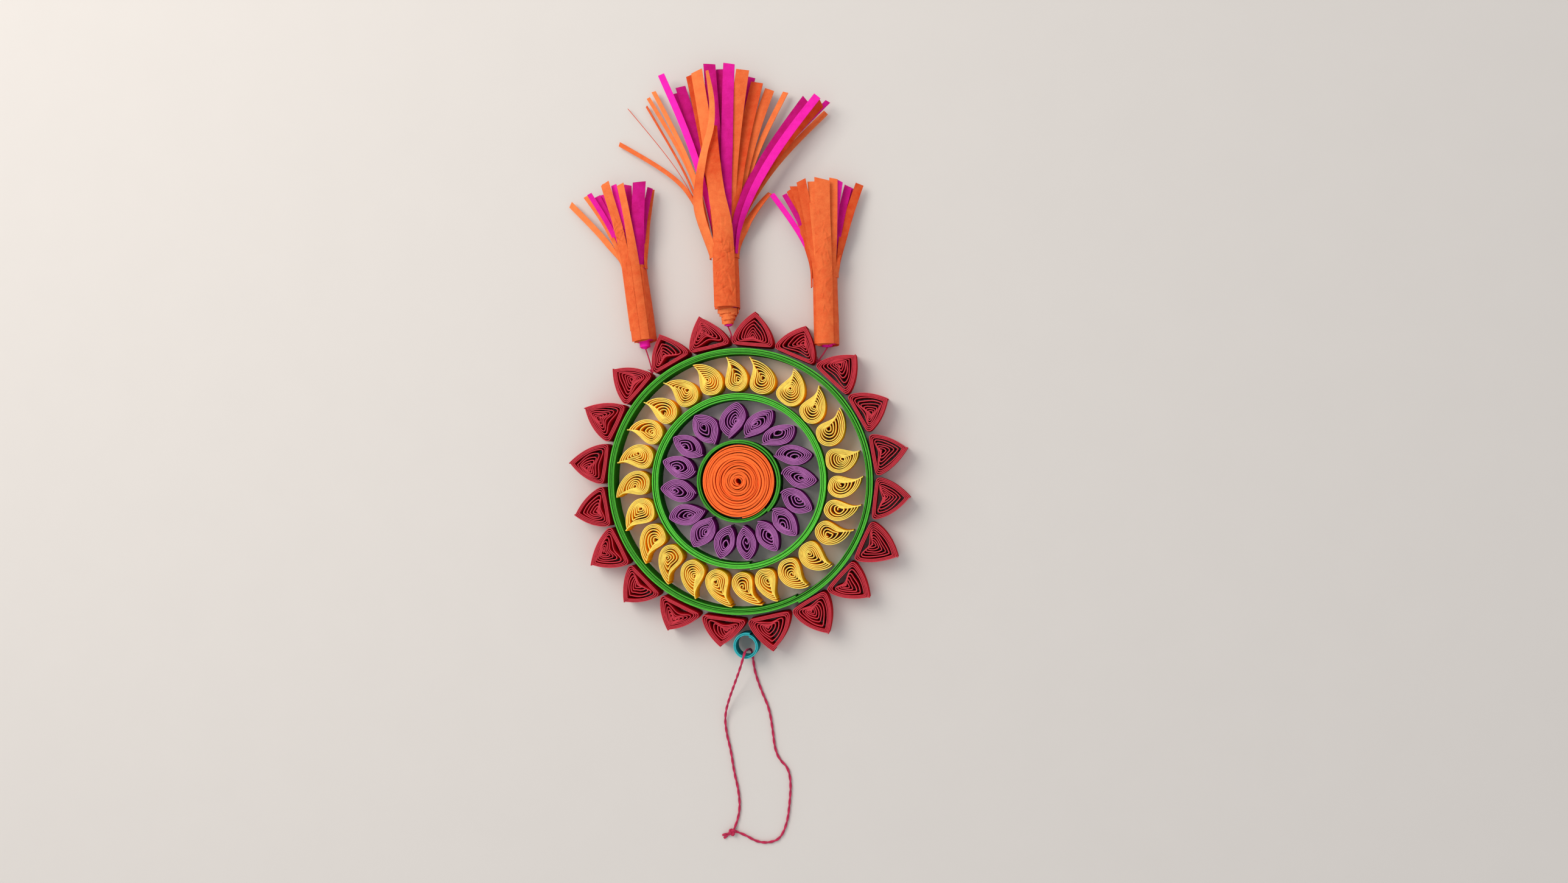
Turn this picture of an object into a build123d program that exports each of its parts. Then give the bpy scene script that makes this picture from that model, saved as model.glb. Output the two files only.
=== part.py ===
from build123d import *
import math
import os

# Quilled paper medallion, lying on its back on the plane z = 0, with its middle on the Z axis.
# The paper tassels lie towards +Y and the hanging loop towards -Y. All sizes are in millimetres and degrees.

# Paper strips
STRIP_WIDTH = 7.0
GLUE_GAP = 0.12

# Rings of tightly wound strip
OUTER_RING_DIAMETER = 83.8
OUTER_RING_BAND = 2.6
OUTER_RING_FACETS = 44
MIDDLE_RING_DIAMETER = 55.3
MIDDLE_RING_BAND = 2.5
MIDDLE_RING_FACETS = 40
INNER_RING_DIAMETER = 26.9
INNER_RING_BAND = 1.8
INNER_RING_FACETS = 30

# Tight coil in the middle
COIL_FACETS = 20
COIL_TURN_STEPS = 12
COIL_BAND = 1.5
COIL_PLY = 1.7
COIL_PITCH = 1.85
COIL_EYE_SHARE = 0.24

# Loose coils: single turns inside the packed outer layers, and how far in the last turn ends. Each kind has
# a least pitch from turn to turn and the stops of one turn, as corner numbers along its outline.
PETAL_PLY = 0.4
PETAL_EYE_SHARE = 0.14
HEART_WANDER = 0.16
WANDER_TURN = 137.5

# Eyes, clockwise from the top: each one's own turn from even spacing, its lean and its packed band
EYE_START = 97
EYE_TURNS = [-2, -4, -3, -4, -3, -3, -3, -1, 0, 4, 3, 3, 2, 1, 3, 4]
EYE_LEANS = [-18, -26, -20, -24, -14, -9, -6, 5, 1, -7, 2, -20, -17, -2, 5, 1]
EYE_BAND = 1.3
EYE_SIDE_STEPS = 4
EYE_SIDE_POWER = 0.72
EYE_HEART = 0.5
EYE_PITCH = 0.6
EYE_TURN_STOPS = [2, 4, 6, 8]

# Teardrops, clockwise from the top
TEARDROP_START = 90
TEARDROP_TURNS = [0, 1, -2, -3, -3, -4, -4, -2, 0, 0, 0, 0, 2, 2, 2, 2, 2, 1, 0, 0, 0, 1, 0, 0]
TEARDROP_LEANS = [17, 26, 17, 23, 26, 10, 20, 20, 23, 12, 14, 12,
                  28, 30, 24, 26, 28, 23, 23, 20, 17, 14, 23, 20]
TEARDROP_BAND = 1.0
TEARDROP_CORNERS = 8
TEARDROP_POINT_POWER = 1.2
TEARDROP_HEART = 0.38
TEARDROP_PITCH = 0.97
TEARDROP_TURN_STOPS = [1, 3, 5, 7]

# Triangles, clockwise from the top: height over the outer ring and each one's own difference
TRIANGLE_START = 83
TRIANGLE_HEIGHT = 11.1
TRIANGLE_TURNS = [1, 1, 0, 0, 0, 0, 0, 0, 2, 3, 1, 0, -1, -1, -1, 0, 0, 1, 1, 1]
TRIANGLE_LEANS = [0, 0, 0, -2, 2, 9, 0, 9, 0, -9, 0, -2, 2, 7, 7, 5, 0, 2, -7, 7]
TRIANGLE_GROWTHS = [-0.5, -1, 0, -0.5, 0, 0, 1, 0.5, 1, 0, -2, -2, -1, 0.5, 0, 1, 1, 0, -1, -0.5]
TRIANGLE_BAND = 0.7
TRIANGLE_BASE_SHARE = 0.84
TRIANGLE_CORNER_RISE = 0.12
TRIANGLE_SIDE = (0.62, 0.55)
TRIANGLE_HEART = 0.42
TRIANGLE_PITCH = 1.0
TRIANGLE_TURN_STOPS = [2.5, 4.5, 7]

# Hanging ring, glued in the notch after triangle 10, clear of the table by the thread under it
HANGING_RING_DIAMETER = 8.3
HANGING_RING_BAND = 1.1
HANGING_RING_FACETS = 20
HANGING_RING_LIFT = 1.1
HANGING_NOTCH_NUMBER = 10

# Hanging thread: a loop from the knot up through the hanging ring and back to the knot
THREAD_DIAMETER = 0.85
THREAD_SIDES = 4
ARC_SHARE = 0.45
THREAD_ROUTE = [
    (-2.0, -108.9, 0.6), (-0.2, -101.5, 0.45), (-2.7, -86.0, 0.5), (-4.6, -77.0, 0.7), (-3.9, -69.2, 2.2),
    (-1.2, -62.6, 5.1), (0.9, -57.4, 7.2), (1.75, -54.7, 7.8), (2.15, -53.2, 7.55), (2.4, -52.5, 6.7),
    (2.6, -52.3, 5.2), (2.9, -52.35, 3.2), (3.1, -52.5, 1.7), (3.3, -53.0, 0.8), (3.5, -54.0, 0.5),
    (3.8, -55.8, 0.45), (4.7, -59.6, 0.45), (7.4, -67.2, 0.45), (10.5, -81.0, 0.45), (15.3, -92.4, 0.45),
    (15.5, -99.0, 0.45), (14.4, -106.6, 0.45), (12.0, -111.6, 0.45), (7.4, -113.2, 0.45), (2.4, -111.6, 0.45),
    (-1.1, -109.9, 0.55),
]

# Knot that ties the thread's two ends, with their short tails
KNOT_SIDES = 6
KNOT_END_SHARE = 0.5
KNOT_DIAMETER = 2.2
KNOT_LENGTH = 2.0
KNOT_PLACE = (-2.6, -109.9, 1.1)
KNOT_AIM = 210
TAIL_LENGTH = 2.6
TAIL_SPREAD = 16

# Tassels
TIE_DIAMETER = 0.5
TIE_KNOT_DIAMETER = 1.3
TIE_KNOT_LENGTH = 1.2
WRAP_SIDES = 8
WRAP_WALL = 0.7
FRINGE_THICKNESS = 0.4
FRINGE_BEND_SHARE = 0.4

# Each tassel: the notch it is tied to, where its tie end lies from that notch's knot, its lean and its sizes.
# Fringe lists run round the wrap from the table side; each strip has a fan angle and a length.
LEFT_TASSEL = {
    "name": "left_tassel", "notch": 18, "offset": (-2.2, 9.0), "lean": 8, "diameter": 7.8, "length": 24.0,
    "tip_diameter": 3.4, "tip_length": 2.4, "cone_length": 0.0, "strip_width": 2.6, "rise": 7,
    "fans": [-2, 6, 14, 6, -4, -12, -26, -12], "lengths": [24, 25, 25, 26, 26, 25, 27, 24],
    "core_fans": [-11, -6, -1, 1], "core_lengths": [24, 26, 27, 26],
}
CENTRE_TASSEL = {
    "name": "centre_tassel", "notch": 20, "offset": (-1.3, 9.0), "lean": 2, "diameter": 8.0, "length": 17.0,
    "tip_diameter": 2.6, "tip_length": 0.9, "cone_length": 4.6, "strip_width": 3.4, "rise": 6,
    "fans": [-3, 12, 36, 12, -2, -10, -34, -16], "lengths": [56, 54, 56, 57, 58, 57, 51, 54],
    "core_fans": [-22, -5, 4, 26], "core_lengths": [58, 59, 58, 56],
}
RIGHT_TASSEL = {
    "name": "right_tassel", "notch": 2, "offset": (2.6, 4.6), "lean": 1, "diameter": 7.9, "length": 22.0,
    "tip_diameter": 3.4, "tip_length": 0.6, "cone_length": 0.0, "strip_width": 2.8, "rise": 7,
    "fans": [2, 10, 22, 9, 0, -9, -28, -8], "lengths": [28, 29, 30, 29, 29, 29, 28, 28],
    "core_fans": [-13, -5, 3, 8], "core_lengths": [28, 29, 29, 28],
}
CONE_STEPS = 3

# Rounds of halving that settle a seat
SEAT_ROUNDS = 30


def on_circle(radius, degrees, height=0.0):
    """Point at a radius and an angle about the Z axis."""
    angle = math.radians(degrees)
    return Vector(radius * math.cos(angle), radius * math.sin(angle), height)


def regular_outline(radius, corners):
    """Corners of a regular polygon, anticlockwise."""
    return [on_circle(radius, 360 * corner / corners) for corner in range(corners)]


def plate(outline, hole, height, base=0.0):
    """Upright sheet of the region between an outline and a hole, standing on a base height."""
    region = Face(Wire.make_polygon(outline), [Wire.make_polygon(hole)])
    return Pos(0, 0, base) * Solid.extrude(region, Vector(0, 0, height))


def ring(diameter, band, facets, height, base=0.0):
    """Closed ring: its corners lie on the outer circle and its inner flats on the inner circle."""
    hole_radius = (diameter / 2 - band) / math.cos(math.pi / facets)
    return plate(regular_outline(diameter / 2, facets), regular_outline(hole_radius, facets), height, base)


def clearance(place, outline):
    """Shortest way in plan from a point to the sides of an outline."""
    ways = []
    for start, end in zip(outline, outline[1:] + outline[:1]):
        side = end - start
        share = min(max((place - start).dot(side) / side.dot(side), 0), 1)
        ways.append((place - start - side * share).length)
    return min(ways)


def drawn_in(outline, heart, band):
    """Outline drawn in towards a heart: by the band at the side nearest to the heart, by more further off."""
    share = 1 - band / clearance(heart, outline)
    return [heart + (corner - heart) * share for corner in outline]


def along(outline, stop):
    """Point on a closed outline at a corner number, with fractions along its sides."""
    corner = int(stop)
    start = outline[corner % len(outline)]
    end = outline[(corner + 1) % len(outline)]
    return start + (end - start) * (stop - corner)


def coil(outline, heart, band, ply, pitch, turn_stops, eye_share):
    """Strip coil pressed to an outline: a closed band of packed layers, and as many turns as the room inside
    takes at a pitch, winding in from the first corner to the heart, rounder as they go in."""
    void = drawn_in(outline, heart, band)
    shortest = min((corner - heart).length for corner in void)
    turns = max(int(shortest * (1 - eye_share) / pitch), 1)
    stops = [turn * len(outline) + stop for turn in range(turns) for stop in turn_stops]
    inner_side = [void[0] + (heart - void[0]).normalized() * ply]
    outer_side = []
    for stop in stops:
        arm = along(void, stop) - heart
        share = 1 - (1 - eye_share) * stop / stops[-1]
        reach = share * (arm.length * share + shortest * (1 - share))
        outer_side.append(heart + arm.normalized() * reach)
        inner_side.append(heart + arm.normalized() * max(reach - ply, reach * eye_share))
    return plate(outline, void + inner_side + outer_side[::-1], STRIP_WIDTH)


class PetalRow:
    """A row of petals round the medallion, each in its own cell between two radii. A cell point has u,
    from -1 to 1 across the cell clockwise, and v, from 0 to 1 outwards."""

    def __init__(self, start, turns, leans, inner, outers, sway):
        """Sway gives how much of its lean a petal has at v."""
        pitch = 360 / len(turns)
        self.angles = [start - pitch * number + turn for number, turn in enumerate(turns)]
        self.leans = leans
        self.inner = inner
        self.outers = outers
        self.sway = sway

    def centre_angle(self, number, v, radius):
        """Angle of a petal's leaning middle line."""
        count = len(self.angles)
        rounds, index = divmod(number, count)
        room = self.outers[index] - self.inner
        shift = self.sway(v) * room * math.tan(math.radians(self.leans[index]))
        return self.angles[index] - 360 * rounds + math.degrees(shift / radius)

    def point(self, number, u, v):
        """Place of a cell point of one petal."""
        index = number % len(self.angles)
        radius = self.inner + (self.outers[index] - self.inner) * v
        middle = self.centre_angle(number, v, radius)
        neighbour = self.centre_angle(number + (1 if u > 0 else -1), v, radius)
        edge = abs(neighbour - middle) / 2 - math.degrees(GLUE_GAP / 2 / radius)
        return on_circle(radius, middle - edge * u)

    def outline(self, number, cell_points):
        """Outline of one petal from its cell points."""
        return [self.point(number, u, v) for u, v in cell_points]

    def heart(self, number, v):
        """Heart of one petal's coil, a little off its middle line and different from petal to petal."""
        wander = math.radians(WANDER_TURN * number)
        return self.point(number, HEART_WANDER * math.sin(wander), v * (1 + HEART_WANDER * math.cos(wander)))


def eye_cell():
    """Eye: two bowed sides between an inner and an outer point."""
    rises = [step / EYE_SIDE_STEPS for step in range(EYE_SIDE_STEPS)]
    right = [(math.sin(math.pi * v) ** EYE_SIDE_POWER, v) for v in rises]
    left = [(-u, 1 - v) for u, v in right]
    return right + left


def lean_about_heart(v):
    """An eye leans about its heart."""
    return v - EYE_HEART


def lean_from_base(v):
    """A triangle leans evenly from its base."""
    return v


def hooked_lean(v):
    """A teardrop leans more and more towards its point."""
    return v * v


def teardrop_cell():
    """Teardrop: a round bulb by the inner ring and a point at the outer one."""
    steps = [2 * math.pi * corner / TEARDROP_CORNERS for corner in range(TEARDROP_CORNERS)]
    across = [-math.sin(step) * abs(math.sin(step / 2)) ** TEARDROP_POINT_POWER for step in steps]
    widest = max(across)
    return [(u / widest, (1 + math.cos(step)) / 2) for u, step in zip(across, steps)]


def triangle_cell():
    """Triangle: a blunt-cornered base along the ring and bowed sides up to a point."""
    side_u, side_v = TRIANGLE_SIDE
    right = [(TRIANGLE_BASE_SHARE, 0), (1, TRIANGLE_CORNER_RISE), (side_u, side_v)]
    left = [(-u, v) for u, v in right[::-1]]
    return [(0, 1)] + left + right


def skin(sections):
    """Close a body over rings of corners, with flat triangles along its sides."""
    faces = [Face(Wire.make_polygon(sections[0])), Face(Wire.make_polygon(sections[-1]))]
    for near, far in zip(sections, sections[1:]):
        for a, b, c, d in zip(near, near[1:] + near[:1], far[1:] + far[:1], far):
            faces.append(Face(Wire.make_polygon([a, b, c])))
            faces.append(Face(Wire.make_polygon([a, c, d])))
    return Solid(Shell(faces))


def rod(start, end, diameter):
    """Straight piece of thread between two points."""
    span = Vector(end) - Vector(start)
    section = Plane(origin=start, z_dir=span) * RegularPolygon(diameter / 2, THREAD_SIDES)
    return Solid.extrude(section.face(), span)


def barrel(place, aim, diameter, length):
    """Knot body: a faceted barrel about an axis, full in its middle half and slimmer at its ends."""
    axis = Plane(origin=place, z_dir=aim)
    full = regular_outline(diameter / 2, KNOT_SIDES)
    slim = regular_outline(diameter / 2 * KNOT_END_SHARE, KNOT_SIDES)
    stations = [(-length / 2, slim), (-length / 4, full), (length / 4, full), (length / 2, slim)]
    return skin([[axis.from_local_coords(corner + Vector(0, 0, station)) for corner in outline]
                 for station, outline in stations])


def halve(low, high, is_low):
    """Value between two limits where a test stops holding, by halving."""
    for _ in range(SEAT_ROUNDS):
        middle = (low + high) / 2
        if is_low(middle):
            low = middle
        else:
            high = middle
    return high


class Notch:
    """Gap between two neighbouring triangles, from the outer ring to beyond their points."""

    def __init__(self, triangles, outlines, number, inner):
        """Number counts the triangle before the gap, from one."""
        count = len(outlines)
        self.before = outlines[number - 1]
        self.after = outlines[number % count]
        self.angles = [triangles.centre_angle(index, 0, triangles.inner) for index in (number - 1, number)]
        self.inner = inner
        self.outer = 2 * max(triangles.outers)

    def halfway(self, reach):
        """Place at a distance from the middle that is as near to one triangle as to the other."""
        def nearer_before(degrees):
            place = on_circle(reach, degrees)
            return clearance(place, self.before) < clearance(place, self.after)
        return on_circle(reach, halve(*self.angles, nearer_before))

    def seat(self, radius):
        """Middle of a round piece that touches the triangles on both sides."""
        return self.halfway(halve(self.inner, self.outer,
                                  lambda reach: clearance(self.halfway(reach), self.before) < radius))


def corner_radii(route):
    """Largest tangent arcs that the route's runs allow, one for each inner point."""
    radii = []
    for before, here, after in zip(route, route[1:], route[2:]):
        arriving = Vector(here) - Vector(before)
        leaving = Vector(after) - Vector(here)
        half_turn = math.radians(arriving.get_angle(leaving)) / 2
        radii.append(ARC_SHARE * min(arriving.length, leaving.length) / math.tan(half_turn))
    return radii


def thread_tube(route, diameter):
    """Thread along straight runs joined by tangent arcs."""
    radii = corner_radii(route)
    print("thread arc radii", [round(radius, 2) for radius in radii])
    path = FilletPolyline(*route, radius=radii)
    section = Plane(origin=route[0], z_dir=path % 0) * RegularPolygon(diameter / 2, THREAD_SIDES)
    tube = sweep(section, path=path)
    share = tube.volume / (section.area * path.length)
    print("thread length", round(path.length, 1), "volume share", round(share, 4))
    return tube


def flat_strip(centre, width, thickness, roll):
    """Corners of a strip's section across its length: outer left, outer right, inner right, inner left."""
    across = Vector(math.cos(roll), 0, math.sin(roll)) * (width / 2)
    up = Vector(-math.sin(roll), 0, math.cos(roll)) * (thickness / 2)
    return [centre - across + up, centre + across + up, centre + across - up, centre - across - up]


def fringe_strip(root, middle_start, fan, length, rise, width, roll):
    """One cut strip of a fringe: from its root section it bends out to its fan angle and rise."""
    lift = math.tan(math.radians(rise))
    sections = [root]
    centre = middle_start
    for share, turn in ((FRINGE_BEND_SHARE, fan / 2), (1 - FRINGE_BEND_SHARE, fan)):
        angle = math.radians(turn)
        centre = centre + Vector(math.sin(angle), math.cos(angle), lift) * (length * share)
        sections.append(flat_strip(centre, width, FRINGE_THICKNESS, roll))
    return skin(sections)


def axis_height(size):
    """Height of a tassel's axis when a flat of its tube lies on the table."""
    return size["diameter"] / 2 * math.cos(math.pi / WRAP_SIDES)


def roll_section(plane, radius):
    """Tube section with a flat on the table side."""
    return plane * Rot(0, 0, 180 / WRAP_SIDES) * RegularPolygon(radius, WRAP_SIDES)


def wrap_sheet(size):
    """Outer sheet of a tassel, rolled to a tube and cut to a fringe past its mouth."""
    outer = size["diameter"] / 2
    inner = outer - WRAP_WALL
    centre_height = axis_height(size)
    half_side = 180 / WRAP_SIDES

    def rim(radius, degrees, station):
        """Point on the tube at a radius and an angle from the table side."""
        angle = math.radians(degrees - 90)
        return Vector(radius * math.cos(angle), station, centre_height + radius * math.sin(angle))

    corners = [360 * side / WRAP_SIDES - half_side for side in range(WRAP_SIDES)]
    tube_face = Face(Wire.make_polygon([rim(outer, degrees, 0) for degrees in corners]),
                     [Wire.make_polygon([rim(inner, degrees, 0) for degrees in corners])])
    sheet = Solid.extrude(tube_face, Vector(0, size["length"], 0))
    for degrees, fan, length in zip(corners, size["fans"], size["lengths"]):
        root = [rim(radius, degrees + shift, size["length"]) for radius, shift in
                ((outer, 2 * half_side), (outer, 0), (inner, 0), (inner, 2 * half_side))]
        start = sum(root, Vector(0, 0, 0)) / len(root)
        facing_up = start.Z > centre_height / 2
        rise = size["rise"] * (start.Z / centre_height - 1) if facing_up else 0
        roll = 180 + degrees + half_side
        flat_roll = 360 if facing_up else 180 + 360 * round((roll - 180) / 360)
        sheet = sheet + fringe_strip(root, start, fan, length, max(rise, 0), size["strip_width"],
                                     math.radians(roll + flat_roll) / 2)
    return sheet


def core_roll(size):
    """Inner roll of a tassel: it fills the tube and shows a tip at the tie end and strips in the fringe."""
    centre_height = axis_height(size)
    radius = size["diameter"] / 2 - WRAP_WALL - GLUE_GAP
    axis = Plane(origin=(0, 0, centre_height), x_dir=(1, 0, 0), z_dir=(0, 1, 0))
    tip_length = size["tip_length"] + size["cone_length"]
    roll = Solid.extrude(roll_section(axis, radius).face(), Vector(0, size["length"], 0))
    tip = roll_section(axis, size["tip_diameter"] / 2)
    roll = roll + Solid.extrude(tip.face(), Vector(0, -tip_length, 0))
    count = len(size["core_fans"])
    pitch = 2 * radius * math.cos(math.pi / WRAP_SIDES) / count
    for number, (fan, length) in enumerate(zip(size["core_fans"], size["core_lengths"])):
        start = Vector((number - (count - 1) / 2) * pitch, size["length"], centre_height)
        root = flat_strip(start, pitch - GLUE_GAP, FRINGE_THICKNESS, 0)
        roll = roll + fringe_strip(root, start, fan, length, 0, size["strip_width"], 0)
    return roll


def cone_roll(size):
    """Narrow strip wound to a stepped cone on the tie end of a tassel, round the core's tip."""
    outer = size["diameter"] / 2
    bore = size["tip_diameter"] / 2 + GLUE_GAP
    step_length = size["cone_length"] / CONE_STEPS
    turns = []
    for step in range(CONE_STEPS):
        radius = bore + (outer - bore) * (CONE_STEPS - step) / (CONE_STEPS + 1)
        station = -GLUE_GAP - step * step_length
        axis = Plane(origin=(0, station, axis_height(size)), x_dir=(1, 0, 0), z_dir=(0, -1, 0))
        section = roll_section(axis, radius) - roll_section(axis, bore)
        turns.append(Solid.extrude(section.face(), Vector(0, -step_length, 0)))
    return turns[0].fuse(*turns[1:])


def tassel_parts(size, notch):
    """Nodes of one tassel: wrap, core, cone where it has one, and the thread that ties it to its notch."""
    knot = notch.seat(TIE_KNOT_DIAMETER / 2 + GLUE_GAP)
    centre_height = axis_height(size)
    tip_length = size["tip_length"] + size["cone_length"]
    place = Pos(knot.X + size["offset"][0], knot.Y + size["offset"][1], 0) * Rot(0, 0, size["lean"])
    parts = {"_wrap": place * wrap_sheet(size), "_core": place * core_roll(size)}
    if size["cone_length"] > 0:
        parts["_cone"] = place * cone_roll(size)
    tie_end = (place * Pos(0, -tip_length - TIE_DIAMETER / 2, centre_height)).position
    knot_place = Vector(knot.X, knot.Y, centre_height)
    tie_knot = barrel(knot_place, Vector(0, 0, 1), TIE_KNOT_DIAMETER, TIE_KNOT_LENGTH)
    parts["_tie"] = tie_knot + rod(knot_place, tie_end, TIE_DIAMETER)
    return {size["name"] + ending: part for ending, part in parts.items()}


def thread_knot():
    """Knot on the loop's two ends, with both tails."""
    place = Vector(KNOT_PLACE)
    knot = barrel(place, on_circle(1, KNOT_AIM), KNOT_DIAMETER, KNOT_LENGTH)
    for spread in (-TAIL_SPREAD, TAIL_SPREAD):
        tail_end = place + on_circle(KNOT_LENGTH / 2 + TAIL_LENGTH, KNOT_AIM + spread)
        knot = knot + rod(place, (tail_end.X, tail_end.Y, THREAD_DIAMETER / 2), THREAD_DIAMETER)
    return knot


def medallion():
    """All nodes of the piece by name."""
    outer_radius = OUTER_RING_DIAMETER / 2
    middle_radius = MIDDLE_RING_DIAMETER / 2
    inner_radius = INNER_RING_DIAMETER / 2
    nodes = {
        "outer_ring": ring(OUTER_RING_DIAMETER, OUTER_RING_BAND, OUTER_RING_FACETS, STRIP_WIDTH),
        "middle_ring": ring(MIDDLE_RING_DIAMETER, MIDDLE_RING_BAND, MIDDLE_RING_FACETS, STRIP_WIDTH),
        "inner_ring": ring(INNER_RING_DIAMETER, INNER_RING_BAND, INNER_RING_FACETS, STRIP_WIDTH),
    }
    coil_outline = regular_outline(inner_radius - INNER_RING_BAND - GLUE_GAP, COIL_FACETS)
    coil_stops = [COIL_FACETS * (step + 1) / COIL_TURN_STEPS for step in range(COIL_TURN_STEPS)]
    nodes["centre_coil"] = coil(
        coil_outline, Vector(0, 0, 0), COIL_BAND, COIL_PLY, COIL_PITCH, coil_stops, COIL_EYE_SHARE)

    eye_outer = middle_radius - MIDDLE_RING_BAND - GLUE_GAP
    eye_count = len(EYE_TURNS)
    eyes = PetalRow(EYE_START, EYE_TURNS, EYE_LEANS, inner_radius + GLUE_GAP, [eye_outer] * eye_count,
                    lean_about_heart)
    for number in range(eye_count):
        outline = eyes.outline(number, eye_cell())
        heart = eyes.heart(number, EYE_HEART)
        nodes[f"purple_eye_{number + 1:02d}"] = coil(
            outline, heart, EYE_BAND, PETAL_PLY, EYE_PITCH, EYE_TURN_STOPS, PETAL_EYE_SHARE)

    teardrop_outer = outer_radius - OUTER_RING_BAND - GLUE_GAP
    teardrop_count = len(TEARDROP_TURNS)
    teardrops = PetalRow(TEARDROP_START, TEARDROP_TURNS, TEARDROP_LEANS, middle_radius + GLUE_GAP,
                         [teardrop_outer] * teardrop_count, hooked_lean)
    nodes["yellow_teardrops"] = Compound([
        coil(teardrops.outline(number, teardrop_cell()), teardrops.heart(number, TEARDROP_HEART),
             TEARDROP_BAND, PETAL_PLY, TEARDROP_PITCH, TEARDROP_TURN_STOPS, PETAL_EYE_SHARE)
        for number in range(teardrop_count)])

    triangle_count = len(TRIANGLE_TURNS)
    base_radius = (outer_radius + GLUE_GAP) / math.cos(math.pi / triangle_count)
    tips = [base_radius + TRIANGLE_HEIGHT + growth for growth in TRIANGLE_GROWTHS]
    triangles = PetalRow(TRIANGLE_START, TRIANGLE_TURNS, TRIANGLE_LEANS, base_radius, tips, lean_from_base)
    outlines = [triangles.outline(number, triangle_cell()) for number in range(triangle_count)]
    for number, outline in enumerate(outlines):
        heart = triangles.heart(number, TRIANGLE_HEART)
        nodes[f"crimson_triangle_{number + 1:02d}"] = coil(
            outline, heart, TRIANGLE_BAND, PETAL_PLY, TRIANGLE_PITCH, TRIANGLE_TURN_STOPS, PETAL_EYE_SHARE)

    ring_notch = Notch(triangles, outlines, HANGING_NOTCH_NUMBER, base_radius)
    ring_place = ring_notch.seat(HANGING_RING_DIAMETER / 2 + GLUE_GAP)
    hanging_ring = ring(HANGING_RING_DIAMETER, HANGING_RING_BAND, HANGING_RING_FACETS,
                        STRIP_WIDTH - HANGING_RING_LIFT, HANGING_RING_LIFT)
    nodes["hanging_ring"] = Pos(ring_place.X, ring_place.Y, 0) * hanging_ring
    nodes["hanging_thread"] = thread_tube(THREAD_ROUTE, THREAD_DIAMETER)
    nodes["thread_knot"] = thread_knot()
    for size in (LEFT_TASSEL, CENTRE_TASSEL, RIGHT_TASSEL):
        nodes.update(tassel_parts(size, Notch(triangles, outlines, size["notch"], base_radius)))
    return nodes


os.makedirs("parts", exist_ok=True)
for name, part in medallion().items():
    export_step(part, f"parts/{name}.step")
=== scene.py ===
import math
from dataclasses import dataclass

import bpy
import numpy as np
from bpy.props import FloatProperty, FloatVectorProperty, IntProperty, PointerProperty
from mathutils import Matrix, Vector


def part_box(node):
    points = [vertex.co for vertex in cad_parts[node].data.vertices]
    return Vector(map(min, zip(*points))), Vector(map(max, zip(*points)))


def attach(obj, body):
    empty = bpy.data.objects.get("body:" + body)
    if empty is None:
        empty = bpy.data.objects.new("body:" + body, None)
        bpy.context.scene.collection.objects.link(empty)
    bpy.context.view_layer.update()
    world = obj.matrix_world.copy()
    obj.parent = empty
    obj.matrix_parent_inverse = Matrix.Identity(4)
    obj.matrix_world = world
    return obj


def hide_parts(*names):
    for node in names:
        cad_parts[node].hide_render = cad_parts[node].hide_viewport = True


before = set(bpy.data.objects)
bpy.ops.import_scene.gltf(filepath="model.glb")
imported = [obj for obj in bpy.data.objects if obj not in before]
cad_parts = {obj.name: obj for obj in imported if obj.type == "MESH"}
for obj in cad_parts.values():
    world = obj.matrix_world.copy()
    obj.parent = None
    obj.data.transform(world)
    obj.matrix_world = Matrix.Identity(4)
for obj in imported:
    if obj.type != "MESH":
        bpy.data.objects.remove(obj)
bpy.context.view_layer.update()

bl_info = {
    "name": "Quilled paper medallion",
    "version": (1, 0, 0),
    "blender": (4, 5, 0),
    "location": "View3D > Sidebar > Quilling",
    "description": "Winds a medallion's paper strips, cuts its tassels and twists its thread",
    "category": "Add Mesh",
}

MM = 0.001
TAU = 2 * math.pi
BODY = "root"
STRIP_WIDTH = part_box("outer_ring")[1].z
GLUE_GAP = 0.12 * MM

# Second number of each seed, so that the pieces draw from rows of their own
RING_DRAWS = 10
COIL_DRAWS = 11
TASSEL_DRAWS = 20

# Rings and the tight coil in their middle
OUTER_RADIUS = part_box("outer_ring")[1].x
MIDDLE_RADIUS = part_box("middle_ring")[1].x
INNER_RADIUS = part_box("inner_ring")[1].x
OUTER_BAND = 2.6 * MM
MIDDLE_BAND = 2.5 * MM
INNER_BAND = 1.8 * MM
HANGING_RING_BAND = 1.3 * MM
HANGING_RING_LAYERS = 3
COIL_HOLE = 0.5 * MM

# How unevenly the layers of the rings and the coil are spaced, and the places in one turn of each
GREEN_UNEVENNESS = 0.35
TEAL_UNEVENNESS = 0.1
COIL_UNEVENNESS = 0.6
OUTER_STEPS = 260
MIDDLE_STEPS = 200
INNER_STEPS = 140
HANGING_RING_STEPS = 72
COIL_STEPS = 120

# Eyes, clockwise from the top: turn from even spacing and lean, in degrees, the power that bows the sides,
# and where the heart lies from the inner end
EYE_START = 97
EYE_TURNS = [-2, -4, -3, -4, -3, -3, -3, -1, 0, 4, 3, 3, 2, 1, 3, 4]
EYE_LEANS = [-18, -26, -20, -24, -14, -9, -6, 5, 1, -7, 2, -20, -17, -2, 5, 1]
EYE_SIDE_POWER = 0.72
EYE_HEART = 0.5

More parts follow.
